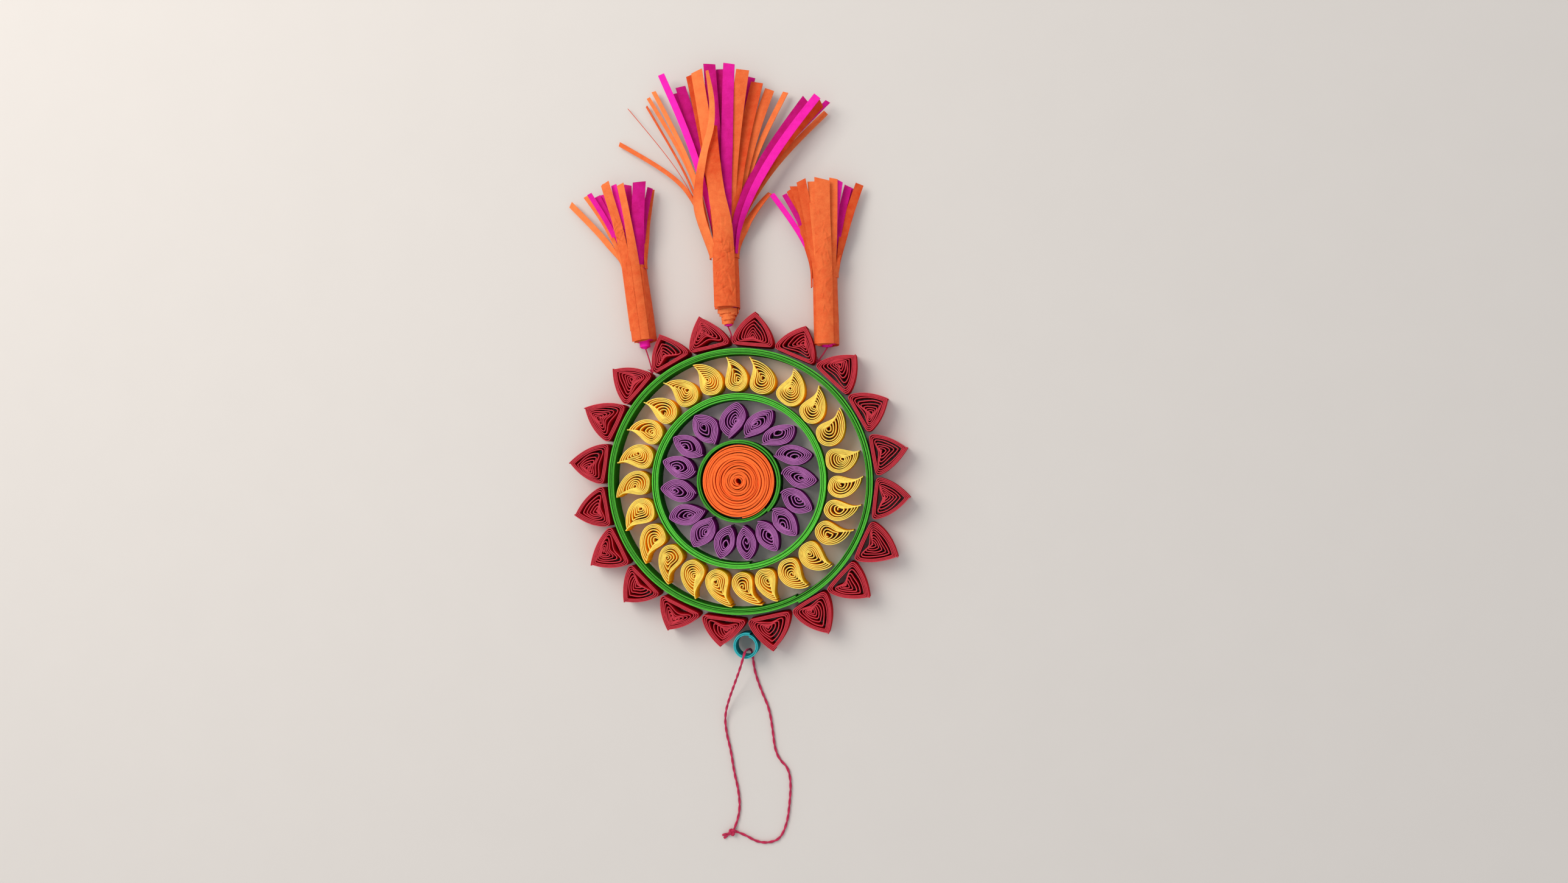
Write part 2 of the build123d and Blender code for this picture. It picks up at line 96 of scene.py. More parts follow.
# Teardrops, clockwise from the top: the powers of the hollow and the full side, and the share and the power
# of the lean on the way out
TEARDROP_START = 90
TEARDROP_TURNS = [0, 1, -2, -3, -3, -4, -4, -2, 0, 0, 0, 0, 2, 2, 2, 2, 2, 1, 0, 0, 0, 1, 0, 0]
TEARDROP_LEANS = [17, 26, 17, 23, 26, 10, 20, 20, 23, 12, 14, 12,
                  28, 30, 24, 26, 28, 23, 23, 20, 17, 14, 23, 20]
TEARDROP_HOOK_POWERS = (2.6, 0.12)
TEARDROP_SWAY = (1.1, 2.2)
TEARDROP_HEART = 0.38

# Triangles, clockwise from the top: growths are differences in height and dents are how far the base side
# sags in, in millimetres, and the rest places the corners, the sides and the base in a cell
TRIANGLE_START = 83
TRIANGLE_HEIGHT = 11.1 * MM
TRIANGLE_TURNS = [1, 1, 0, 0, 0, 0, 0, 0, 2, 3, 1, 0, -1, -1, -1, 0, 0, 1, 1, 1]
TRIANGLE_LEANS = [0, 0, 0, -2, 2, 9, 0, 9, 0, -9, 0, -2, 2, 7, 7, 5, 0, 2, -7, 7]
TRIANGLE_GROWTHS = [-0.5, -1, 0, -0.5, 0, 0, 1, 0.5, 1, 0, -2, -2, -1, 0.5, 0, 1, 1, 0, -1, -0.5]
TRIANGLE_DENTS = [1.1, 0.9, 0.8, 1.3, 1.1, 2.3, 2.0, 2.1, 1.1, 1.3,
                  1.5, 1.9, 1.8, 1.2, 1.4, 1.3, 1.9, 1.0, 2.0, 2.0]
TRIANGLE_HEART = 0.4
TRIANGLE_CORNER = (0.84, 0.12)
TRIANGLE_SIDE_PULL = (0.74, 0.54)
TRIANGLE_BASE_DROP = 0.042

# Places along one turn of a petal's outline, and the dense places that each side is measured on
TURN_STEPS = 48
TRIANGLE_SIDE_STEPS = 17
SIDE_PLACES = 400

# Hanging thread: the route's points from the knot through the hanging ring and back
THREAD_DIAMETER = 0.85 * MM
THREAD_ROUTE = [
    (-0.0023, -0.1093, 0.0006), (-0.0011, -0.1066, 0.00045), (-0.0003, -0.1020, 0.00045),
    (-0.0009, -0.0964, 0.00045), (-0.0022, -0.0914, 0.00045), (-0.0032, -0.0848, 0.00045),
    (-0.0047, -0.0790, 0.0005), (-0.0051, -0.0740, 0.0010), (-0.0039, -0.0692, 0.0022),
    (-0.0012, -0.0626, 0.0051), (0.0009, -0.0574, 0.0072), (0.00175, -0.0547, 0.0078),
    (0.00215, -0.0532, 0.00755), (0.0024, -0.0525, 0.0067), (0.0026, -0.0523, 0.0052),
    (0.0029, -0.05235, 0.0032), (0.0031, -0.0525, 0.0017), (0.0033, -0.0530, 0.0008),
    (0.0035, -0.0540, 0.0005), (0.0038, -0.0558, 0.00045), (0.0044, -0.0600, 0.00045),
    (0.0066, -0.0660, 0.00045), (0.0089, -0.0710, 0.00045), (0.0100, -0.0774, 0.00045),
    (0.0107, -0.0836, 0.00045), (0.0122, -0.0870, 0.00045), (0.0149, -0.0894, 0.00045),
    (0.0158, -0.0940, 0.00045), (0.0154, -0.1002, 0.00045), (0.0147, -0.1062, 0.00045),
    (0.0126, -0.1114, 0.00045), (0.0090, -0.1130, 0.00045), (0.0049, -0.1128, 0.00045),
    (0.0010, -0.1106, 0.0005), (-0.0022, -0.1096, 0.0007),
]

# Knot of the loop, and its two tails: their direction and spread in degrees, how soon they fall to the table,
# and their share of the thread's diameter
KNOT_PLACE = (-0.0026, -0.1099, 0.0011)
KNOT_AIM = 210
KNOT_SIZE = 1.75 * MM
KNOT_RADIUS = 0.42 * MM
TAIL_REACH = 3.6 * MM
TAIL_SPREAD = 8
TAIL_STEPS = 12
TAIL_FALL = 1.6
TAIL_THINNESS = 0.9


@dataclass
class Strip:
    """One strip of a fringe: the rim angle of its root in degrees, with 0 to the right and 90 upwards, its
    tip's place and its widths from the root to the tip in millimetres, its tones from -1, deep, to 1, pale,
    which are painted shade and painted light by how each part faces the light, its twist in degrees, the
    share of its length that keeps to the tassel's axis, how far it bulges there in millimetres, how sharply it
    then bends, how far it reaches down the tube and stands off it in millimetres, the places that it passes
    on its way, and how many creases it has."""
    root: float
    tip: tuple
    widths: tuple
    tone: float | tuple
    twist: float = 0.0
    keeps: float = 0.4
    bulge: float = 0.5
    bend: float = 0.44
    down: float = 1.2
    lift: float = 0.0
    by: tuple = ()
    creases: int = 0


@dataclass
class Tassel:
    """A tassel as built: its lean in degrees, its tube's diameter and length and its tip's diameter and
    length in millimetres, how many creases and flat facets its tube has, where its sheet's edge lies, and
    its strips."""
    name: str
    lean: float
    diameter: float
    length: float
    tip: tuple
    creases: int
    facets: int
    edge: float
    outer: list
    inner: list


LEFT_TASSEL = Tassel("left_tassel", 8, 7.8, 24.0, (3.4, 2.4), 26, 5, 52, outer=[
    Strip(176, (-55.6, 88.9, 1.4), (2.2, 1.9), 0.6, twist=8, keeps=0.2, bulge=0.2),
    Strip(166, (-50.4, 91.1, 2.4), (1.8, 1.4), 0.5, twist=-12, down=2.5),
    Strip(128, (-44.2, 94.9, 3.2), (2.0, 1.4), -0.2, twist=18),
    Strip(118, (-42.7, 94.1, 7.0), (3.6, 2.8), (-0.2, 0.3), twist=-6, down=23.8, creases=60),
    Strip(76, (-37.6, 93.6, 7.2), (3.0, 2.3), (-0.1, 0.4), twist=10, down=23.7),
    Strip(6, (-28.5, 92.9, 1.6), (2.2, 1.2), -0.2, twist=-25, keeps=0.3),
    Strip(156, (-40.6, 77.0, 5.5), (2.6, 1.2), 0.3, keeps=0.5, down=20),
], inner=[
    Strip(158, (-48.3, 91.3, 5.2), (1.6, 1.6), 0.4, twist=-20, keeps=0.35),
    Strip(150, (-46.4, 90.7, 3.4), (2.2, 2.6), -0.1, twist=6, keeps=0.35),
    Strip(140, (-44.9, 91.4, 2.8), (2.0, 2.0), 0.1, keeps=0.35),
    Strip(105, (-40.3, 93.9, 5.4), (1.9, 1.9), 0.5, twist=14),
    Strip(80, (-36.0, 94.0, 4.0), (2.4, 2.4), -0.5),
    Strip(45, (-31.7, 94.4, 6.2), (3.8, 4.1), -0.35, twist=-4),
    Strip(20, (-28.9, 93.1, 3.4), (1.8, 1.8), -0.3, twist=-14, keeps=0.35),
    Strip(100, (-38.6, 93.2, 2.4), (2.4, 2.2), -0.4),
])
CENTRE_TASSEL = Tassel("centre_tassel", 2, 8.0, 17.0, (2.6, 0.9), 12, 0, 200, outer=[
    Strip(178, (-39.6, 108.0, 1.2), (2.0, 1.4), 0.1, twist=10, keeps=0.46, bulge=5.5, bend=0.95),
    Strip(172, (-36.9, 119.4, 0.8), (0.35, 0.2), -0.6, keeps=0.4, bulge=5.5, bend=0.9),
    Strip(168, (-30.7, 119.8, 1.2), (1.0, 0.7), -0.3, twist=30, keeps=0.4, bulge=5.0, bend=0.85),
    Strip(163, (-30.0, 122.3, 1.6), (1.6, 1.2), 0.6, twist=-15, keeps=0.4, bulge=3.0, bend=0.7),
    Strip(158, (-28.2, 124.2, 2.0), (1.6, 1.4), 0.7, twist=10, keeps=0.4, bulge=3.0, bend=0.7),
    Strip(125, (-16.2, 128.1, 4.2), (2.4, 2.0), -0.6, twist=-8),
    Strip(112, (-13.3, 128.7, 6.4), (3.4, 3.7), 0.5, twist=4),
    Strip(64, (1.5, 128.2, 7.2), (4.0, 4.1), (-0.2, 0.0), twist=-5, lift=-0.7),
    Strip(48, (5.6, 125.0, 4.2), (3.2, 3.9), -0.5, twist=6),
    Strip(30, (9.4, 123.0, 3.0), (2.4, 3.0), 0.0, twist=-6),
    Strip(18, (14.4, 122.1, 2.4), (2.0, 1.8), 0.3, twist=12),
    Strip(14, (25.9, 117.5, 5.0), (2.2, 2.5), -0.7, twist=-22, keeps=0.35),
    Strip(0, (27.0, 115.5, 1.6), (2.2, 1.9), 0.2, twist=14, keeps=0.35),
    Strip(150, (-9.3, 127.5, 10.0), (6.2, 6.0, 3.2, 2.1, 2.0, 1.7, 1.6, 0.9),
          (0.4, 0.5, -0.3, 0.9, 1, 0.8, 0.6, 0.6), twist=-30,
          by=((-12.2, 84.3, 7.0), (-11.9, 92.9, 9.0), (-10.0, 102.1, 10.5), (-7.9, 109.5, 11.0),
              (-7.5, 116.0, 10.8), (-8.1, 121.2, 10.4))),
    Strip(90, (-7.0, 110.6, 9.2), (6.8, 6.0, 5.2, 4.9, 3.5, 1.9), (-0.2, 0.1, 0.1, -0.5, -0.7, -0.8),
          twist=12, down=16.7, lift=0.4, creases=110,
          by=((-4.6, 79.8, 8.8), (-6.3, 89.4, 9.2), (-7.4, 98.3, 9.4), (-7.5, 105.4, 9.3))),
    Strip(8, (9.6, 90.2, 3.6), (3.0, 2.4), -0.1, twist=50, keeps=0.4, bulge=0.6),
], inner=[
    Strip(140, (-25.0, 128.5, 5.2), (2.2, 2.2), 0.9, twist=18, bulge=2.0),
    Strip(150, (-19.2, 125.0, 3.2), (2.6, 3.2), -0.4, twist=-6),
    Strip(158, (-20.6, 123.3, 2.2), (2.4, 2.4), -0.2),
    Strip(100, (-9.5, 131.2, 5.0), (3.2, 3.8), -0.4, twist=-4),
    Strip(92, (-6.2, 129.8, 3.6), (2.8, 2.8), -0.6),
    Strip(72, (-2.8, 130.3, 7.4), (2.4, 3.7), (-0.5, -0.2, 0.1), twist=6, down=0.2, lift=1.0),
    Strip(48, (21.2, 118.9, 4.0), (2.6, 3.6), -0.5, twist=-4, keeps=0.3, down=0.2, lift=0.9),
    Strip(34, (24.9, 119.0, 7.6), (1.1, 2.6), (-0.1, 0.6, 0.6), twist=8, keeps=0.3, down=0.1, lift=1.6),
    Strip(16, (27.8, 118.4, 3.4), (1.8, 1.6), 0.0, twist=-16, keeps=0.35),
    Strip(118, (-14.4, 127.0, 2.6), (2.6, 2.8), -0.5),
    Strip(60, (3.6, 127.2, 2.6), (2.4, 2.4), -0.4),
    Strip(40, (4.4, 96.0, 6.0), (3.0, 1.2), -0.8, keeps=0.5),
])
RIGHT_TASSEL = Tassel("right_tassel", 1, 7.9, 22.0, (3.4, 0.6), 18, 6, 38, outer=[
    Strip(168, (15.8, 91.2, 2.8), (2.2, 2.2), -0.5, twist=8, keeps=0.35, down=4.0, lift=0.5),
    Strip(150, (17.3, 91.9, 4.6), (2.6, 2.6), -0.4, twist=-6),
    Strip(136, (19.7, 93.2, 6.4), (2.8, 3.0), (-0.2, -0.4), twist=4, down=21.6),
    Strip(112, (23.2, 93.0, 5.6), (2.6, 3.2), 0.3, down=14),
    Strip(92, (26.4, 93.1, 8.2), (5.2, 4.7), (-0.1, 0.1), twist=-3, keeps=0.5, down=21.8, creases=60),
    Strip(52, (29.8, 93.5, 6.4), (2.4, 2.6), (-0.3, 0.1), twist=6, down=21.7),
    Strip(14, (37.6, 92.3, 2.8), (2.2, 2.6), -0.6, twist=-18, keeps=0.35),
    Strip(30, (31.2, 70.0, 5.0), (3.0, 1.4), -0.2, keeps=0.6, bulge=0.3),
], inner=[
    Strip(170, (10.2, 89.8, 4.2), (1.8, 1.7), 0.8, twist=-14, keeps=0.3),
    Strip(166, (14.0, 89.9, 2.6), (1.6, 1.6), -0.2, twist=6, keeps=0.35),
    Strip(46, (31.7, 92.8, 6.0), (2.0, 2.0), 0.2, twist=-20),
    Strip(30, (34.1, 91.7, 3.2), (2.2, 2.4), -0.3, keeps=0.35),
    Strip(20, (35.6, 91.2, 1.8), (1.4, 1.2), -0.3, twist=10, keeps=0.35),
    Strip(140, (19.2, 92.0, 3.0), (1.8, 1.8), 0.0),
    Strip(90, (25.0, 92.4, 3.6), (2.8, 2.8), -0.2),
])

# Turns of the centre tassel's cone: radius, place along the axis and length in millimetres
CONE_TURNS = [(3.3, 0.1, 1.5), (2.85, -1.1, 1.2), (2.35, -2.1, 1.3), (1.85, -3.2, 1.5)]

# Where the photograph was taken from
CAMERA_PLACE = (0.0623, 0.0058, 0.3672)
CAMERA_AIM = (0.01354, 0.01251, 0.0)
CAMERA_LENS = 27.04
CAMERA_SENSOR = 36.0
CAMERA_NEAR = 0.01

# Table and light, in metres
TABLE_HALF = 1.5
TABLE_STEPS = 25
TABLE_THICKNESS = 2 * MM
TABLE_DROP = 0.05 * MM
KEY_PLACE = (-0.42, 0.36, 0.62)
KEY_SIZE = 0.5
KEY_COLOUR = (1.0, 0.96, 0.91)
ROOM_COLOUR = (0.93, 0.96, 1.0, 1.0)


def from_screen(red, green, blue):
    """Scene colour of a screen colour: each channel goes through the screen's inverse curve."""
    share = np.array([red, green, blue]) / 255
    return tuple(np.where(share <= 0.04045, share / 12.92, ((share + 0.055) / 1.055) ** 2.4))


def colour_property(name, description, screen):
    """Colour setting with a screen colour as its default."""
    return FloatVectorProperty(name=name, description=description, subtype="COLOR", size=3, min=0, max=1,
                               default=from_screen(*screen))


def length_property(name, description, default, low, high):
    """Length setting, given in millimetres."""
    return FloatProperty(name=name, description=description, default=default * MM, min=low * MM,
                         max=high * MM, precision=5, unit="LENGTH")


class QuillingPaper(bpy.types.PropertyGroup):
    """Sizes of the paper and the thread."""
    thickness: length_property("Strip", "Thickness of a petal's strip", 0.31, 0.05, 0.6)
    packed_pitch: length_property("Packed pitch", "From layer to layer where a coil is packed", 0.35, 0.05, 1)
    ring_pitch: length_property("Ring pitch", "From layer to layer in the green rings", 0.52, 0.1, 2)
    coil_pitch: length_property("Coil pitch", "From layer to layer in the tight coil", 0.64, 0.1, 2)
    sheet_thickness: length_property("Sheet", "Thickness of the tassels' sheets", 0.22, 0.05, 1)
    twist_pitch: length_property("Twist", "Length of one twist of the two-ply thread", 5.0, 0.5, 20)
    seed: IntProperty(name="Seed", description="Start of the seeded differences between pieces",
                      default=7, min=0)


class QuillingColours(bpy.types.PropertyGroup):
    """Paper and thread colours: the wall of a strip and its cut edge, copies of each paper in painted shade
    and painted light.
    """
    # Each wall colour is painted shade down a strip's sides, and each edge colour a painted highlight on its
    # top
    orange: colour_property("Orange", "Tight coil's walls", (232, 36, 0))
    orange_edge: colour_property("Orange edge", "Tight coil's cut edges", (255, 124, 56))
    green: colour_property("Green", "Rings' walls", (22, 118, 14))
    green_edge: colour_property("Green edge", "Rings' cut edges", (98, 202, 70))
    purple: colour_property("Purple", "Eyes' walls", (124, 22, 112))
    purple_edge: colour_property("Purple edge", "Eyes' cut edges", (184, 114, 176))
    yellow: colour_property("Yellow", "Teardrops' walls", (255, 182, 4))
    yellow_edge: colour_property("Yellow edge", "Teardrops' cut edges", (255, 232, 112))
    crimson: colour_property("Crimson", "Triangles' walls", (182, 4, 22))
    crimson_edge: colour_property("Crimson edge", "Triangles' cut edges", (208, 66, 78))
    teal: colour_property("Teal", "Hanging ring's walls", (20, 140, 146))
    teal_edge: colour_property("Teal edge", "Hanging ring's cut edges", (64, 186, 190))
    # The deep sheet colours are painted shade, mixed in by each strip's tone where it lies in shade, and also
    # the deeper spots of the pulp grain
    sheet_orange: colour_property("Sheet orange", "Tassels' outer sheet", (255, 142, 78))
    sheet_deep_shade: colour_property("Sheet deep", "Tassels' outer sheet, dyed deepest", (208, 44, 8))
    magenta: colour_property("Magenta", "Tassels' inner sheet", (252, 36, 180))
    magenta_deep_shade: colour_property("Magenta deep", "Tassels' inner sheet, dyed deepest", (166, 0, 74))
    thread: colour_property("Thread", "Hanging and tie threads", (188, 10, 70))
    floor: colour_property("Floor", "Plain table", (218, 211, 204))


class QuillingStage(bpy.types.PropertyGroup):
    """Camera's lens and the light's level."""
    lens: FloatProperty(name="Lens", description="Camera's focal length",
                        default=CAMERA_LENS, min=1, unit="CAMERA")
    key: FloatProperty(name="Key", description="Power of the large soft light",
                       default=3.9, min=0, unit="POWER")
    fill: FloatProperty(name="Fill", description="Strength of the even light all round", default=0.70, min=0)


# Surfaces: arrays of places and faces

class Surface:
    """Closed surface: places, faces as rows of place numbers, the height share of each place on its strip and
    its tone from -1 to 1."""

    def __init__(self, places, faces, rise, tone):
        self.places = places
        self.faces = faces
        self.rise = np.broadcast_to(rise, len(places))
        self.tone = np.broadcast_to(tone, len(places))


# Edges sharper than this, in degrees, are not smoothed over
SHARP_ANGLE = 38


def put_object(name, data):
    """Put an object into the scene."""
    item = bpy.data.objects.new(name, data)
    bpy.context.scene.collection.objects.link(item)
    return item


def mesh_places(mesh):
    """Places of a mesh's corners."""
    places = np.empty(len(mesh.vertices) * 3)
    mesh.vertices.foreach_get("co", places)
    return places.reshape(-1, 3)


def put_piece(name, surfaces, material, slot, *nodes):
    """One mesh piece of several closed surfaces, which rides on the body and stands for its nodes."""
    starts = np.cumsum([0] + [len(surface.places) for surface in surfaces])
    rows = [faces + start for surface, start in zip(surfaces, starts) for faces in surface.faces]
    corners = np.concatenate([faces.ravel() for faces in rows])
    sizes = np.concatenate([np.full(len(faces), faces.shape[1]) for faces in rows])
    mesh = bpy.data.meshes.new(name)
    mesh.vertices.add(starts[-1])
    mesh.vertices.foreach_set("co", np.concatenate([surface.places for surface in surfaces]).ravel())
    mesh.loops.add(len(corners))
    mesh.loops.foreach_set("vertex_index", corners)
    mesh.polygons.add(len(sizes))
    mesh.polygons.foreach_set("loop_start", np.concatenate([[0], np.cumsum(sizes)[:-1]]))
    mesh.update(calc_edges=True)
    for label in ("rise", "tone"):
        values = np.concatenate([getattr(surface, label) for surface in surfaces])
        mesh.attributes.new(label, "FLOAT", "POINT").data.foreach_set("value", values)
    mesh.polygons.foreach_set("use_smooth", np.ones(len(sizes), bool))
    mesh.set_sharp_from_angle(angle=math.radians(SHARP_ANGLE))
    mesh.materials.append(material)
    if mesh.validate():
        raise RuntimeError(f"{name} has faces that are not sound")
    piece = put_object(name, mesh)
    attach(piece, BODY)
    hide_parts(*nodes)
    return piece


# Section of a strip that stands on edge: share of the thickness across, share of the height up. A sharp
# corner is mitred no further out than this limit allows.
STRIP_SECTION = np.array([(-0.5, 0), (-0.5, 0.985), (-0.27, 1), (0.27, 1), (0.5, 0.985), (0.5, 0)])
MITRE_LIMIT = 0.6


def neighbours(count, sides):
    """Numbers of the places of each section along a path but the last, and of the places beside them."""
    first = np.arange(count - 1)[:, None] * sides
    return first + np.arange(sides), first + np.roll(np.arange(sides), -1)


def strip_surface(path, thickness, low, high, tone):
    """Paper strip on edge: its section, a rectangle with softened upper corners, is carried along a plan
    path. A section point lies across by its share of the thickness on the mitred normal, and up by its
    share from the low to the high edge. The path holds complex places."""
    steps = np.diff(path)
    normals = 1j * steps / np.abs(steps)
    before = np.concatenate([normals[:1], normals])
    after = np.concatenate([normals, normals[-1:]])
    mean = before + after
    mitred = mean / np.maximum((mean * before.conj()).real, MITRE_LIMIT)
    across, up = STRIP_SECTION.T
    plan = path[:, None] + (mitred * thickness)[:, None] * across
    low = np.broadcast_to(low, path.shape)
    high = np.broadcast_to(high, path.shape)
    height = low[:, None] + (high - low)[:, None] * up
    places = np.stack([plan.real, plan.imag, height], 2).reshape(-1, 3)
    count, sides = plan.shape
    here, beside = neighbours(count, sides)
    walls = np.stack([here, here + sides, beside + sides, beside], 2).reshape(-1, 4)
    ends = np.stack([np.arange(sides), np.arange(count * sides - 1, (count - 1) * sides - 1, -1)])
    tone = np.broadcast_to(tone, path.shape)
    return Surface(places, [walls, ends], np.tile(up, count), np.repeat(tone, sides))


# Shortest normal that is still divided by its own length
LEAST_NORMAL = 1e-12


def sheet_surface(grid, thickness, tone):
    """Sheet of paper over a grid of middle places: each face lies half a thickness off along the grid's
    normal, which is the cross product of its two directions, and a rim closes them."""
    rows, columns = grid.shape[:2]
    normal = np.cross(np.gradient(grid, axis=0), np.gradient(grid, axis=1))
    normal /= np.maximum(np.linalg.norm(normal, axis=2, keepdims=True), LEAST_NORMAL)
    front = grid + normal * thickness / 2
    back = grid - normal * thickness / 2
    places = np.concatenate([front.reshape(-1, 3), back.reshape(-1, 3)])
    number = np.arange(rows * columns).reshape(rows, columns)
    near, far = number[:-1], number[1:]
    faces = np.stack([near[:, :-1], far[:, :-1], far[:, 1:], near[:, 1:]], 2).reshape(-1, 4)
    edge = np.concatenate([number[:, 0], number[-1, 1:], number[-2::-1, -1], number[0, -2:0:-1]])
    ahead = np.roll(edge, -1)
    other = rows * columns
    rim = np.stack([ahead, edge, edge + other, ahead + other], 1)
    tone = np.broadcast_to(tone, (rows, columns))
    return Surface(places, [faces, faces[:, ::-1] + other, rim], 0.5, np.tile(tone.ravel(), 2))


# A direction that no stretch of thread follows, to turn each thread's section from
THREAD_SIDEWAYS = np.array([0.8, 0.0, 0.6])


def unit(vectors):
    """Vectors of length one with the same directions."""
    return vectors / np.linalg.norm(vectors, axis=-1, keepdims=True)


def thread_frames(path):
    """Two directions across a path: one square to the path and to a fixed direction, one square to both."""
    ahead = unit(np.gradient(path, axis=0))
    first = unit(np.cross(ahead, THREAD_SIDEWAYS))
    return first, np.cross(ahead, first)


def tube_surface(path, radius, sides, tone=0.0):
    """Round tube along an open path: circles about the path's places, with a flat cap at each end."""
    first, second = thread_frames(path)
    angle = TAU * np.arange(sides) / sides
    radius = np.broadcast_to(radius, len(path))[:, None, None]
    ring = first[:, None] * np.cos(angle)[:, None] + second[:, None] * np.sin(angle)[:, None]
    places = (path[:, None] + ring * radius).reshape(-1, 3)
    here, beside = neighbours(len(path), sides)
    walls = np.stack([here, beside, beside + sides, here + sides], 2).reshape(-1, 4)
    last = (len(path) - 1) * sides
    ends = np.stack([np.arange(sides)[::-1], last + np.arange(sides)])
    return Surface(places, [walls, ends], 0.5, tone)


def even_places(path, step):
    """Same path with places a step apart, by its length."""
    reach = np.concatenate([[0], np.cumsum(np.linalg.norm(np.diff(path, axis=0), axis=1))])
    stations = np.linspace(0, reach[-1], max(int(reach[-1] / step), 4))
    return np.stack([np.interp(stations, reach, path[:, axis]) for axis in range(3)], 1), stations


# Strands of the thread: how far off its middle and how thick, as shares of its diameter, places for each
# twist, sides and tone
STRAND_OFFSET = 0.19
STRAND_RADIUS = 0.3
STRAND_STEPS = 22
STRAND_SIDES = 10
STRAND_TONE = 0.5


def twisted_thread(path, diameter, pitch):
    """Two strands twisted round each other: each strand's middle lies a share of the diameter off the path,
    at an angle that makes a full turn in each pitch, and the strands stand opposite each other."""
    places, stations = even_places(path, pitch / STRAND_STEPS)
    first, second = thread_frames(places)
    strands = []
    for start in (0, np.pi):
        angle = (TAU * stations / pitch + start)[:, None]
        middle = places + (first * np.cos(angle) + second * np.sin(angle)) * diameter * STRAND_OFFSET
        tone = math.cos(start) * STRAND_TONE
        strands.append(tube_surface(middle, diameter * STRAND_RADIUS, STRAND_SIDES, tone))
    return strands


# Materials

class Nodes:
    """Node tree of one material, with short ways to add and join its nodes."""

    def __init__(self, name):
        self.material = bpy.data.materials.new(name)
        self.material.use_nodes = True
        self.tree = self.material.node_tree
        self.shader = self.tree.nodes["Principled BSDF"]
        self.place = self.add("ShaderNodeTexCoord").outputs["Object"]

    def add(self, kind, values=None, **settings):
        """Add a node, with its settings and with values or sockets for its inputs."""
        node = self.tree.nodes.new(kind)
        for name, value in settings.items():
            setattr(node, name, value)
        for key, value in (values or {}).items():
            if isinstance(value, bpy.types.NodeSocket):
                self.tree.links.new(value, node.inputs[key])
            else:
                node.inputs[key].default_value = value
        return node

    def join(self, socket, name):
        """Lead a socket to one of the shader's inputs."""
        self.tree.links.new(socket, self.shader.inputs[name])

    def attribute(self, name):
        """The number that the piece's mesh holds at each place."""
        return self.add("ShaderNodeAttribute", attribute_name=name).outputs["Fac"]

    def ramp(self, value, from_low, from_high, to_low, to_high):
        """Stretch a number from one range to another."""
        return self.add("ShaderNodeMapRange", {
            "Value": value, "From Min": from_low, "From Max": from_high, "To Min": to_low, "To Max": to_high,
        }).outputs["Result"]

    def noise(self, scale, detail, roughness):
        """Grain of a scale in cycles for each metre."""
        return self.add("ShaderNodeTexNoise", {
            "Vector": self.place, "Scale": scale, "Detail": detail, "Roughness": roughness,
        }).outputs["Fac"]

    def mix(self, share, first, second):
        """Mix two plain colours: inputs 6 and 7 and output 2 are the mix node's colours."""
        colours = {0: share, 6: (*first, 1.0), 7: (*second, 1.0)}
        return self.add("ShaderNodeMix", colours, data_type="RGBA").outputs[2]

    def math(self, operation, first, second):
        """Work out a number from two."""
        return self.add("ShaderNodeMath", {0: first, 1: second}, operation=operation).outputs[0]

    def tint_by_tone(self, colour, tone_span, grain, grain_span):
        """Give the shader a colour whose light differs by each strip's tone, which on the tassels is painted
        light and shade, and by a grain.
        """
        tone = self.ramp(self.attribute("tone"), -1, 1, 1 - tone_span, 1 + tone_span)
        speckle = self.ramp(grain, 0.3, 0.7, 1 - grain_span, 1 + grain_span)
        light = self.math("MULTIPLY", tone, speckle)
        scaled = self.add("ShaderNodeVectorMath", {"Vector": colour, "Scale": light}, operation="SCALE")
        self.join(scaled.outputs["Vector"], "Base Color")

    def relief(self, *layers):
        """Give the shader layers of relief, each a height, a strength and a depth in millimetres."""
        normal = {}
        for height, strength, depth in layers:
            values = {"Height": height, "Strength": strength, "Distance": depth * MM, **normal}
            normal = {"Normal": self.add("ShaderNodeBump", values).outputs["Normal"]}
        self.join(normal["Normal"], "Normal")

    def finished(self, values):
        """The material, with values for the rest of the shader's inputs."""
        for name, value in values.items():
            self.shader.inputs[name].default_value = value
        return self.material


def strip_paper(name, wall, edge, painted_highlight_start=0.962, tone_span=0.1, rough_edge=0.2):
    """Coloured quilling paper with a faint grain: walls in painted shade, and a cut top edge in a paler
    painted highlight, broken up by fibres.
    """
    nodes = Nodes(name)
    grain = nodes.noise(900, 4, 0.6)
    fibre = nodes.noise(6500, 3, 0.7)
    # Painted highlight: the top of each strip takes the paler edge colour, broken up by fibres, and the walls
    # below keep the deeper colour as painted shade
    painted_highlight_share = nodes.ramp(nodes.attribute("rise"), painted_highlight_start, 1, 0, 1)
    torn = nodes.ramp(fibre, 0.35, 0.65, 1 - rough_edge, 1)
    nodes.tint_by_tone(nodes.mix(nodes.math("MULTIPLY", painted_highlight_share, torn), wall, edge), tone_span, grain, 0.09)
    nodes.relief((fibre, 0.22, 0.04), (grain, 0.3, 0.12))
    return nodes.finished({"Roughness": 0.78, "Specular IOR Level": 0.08})


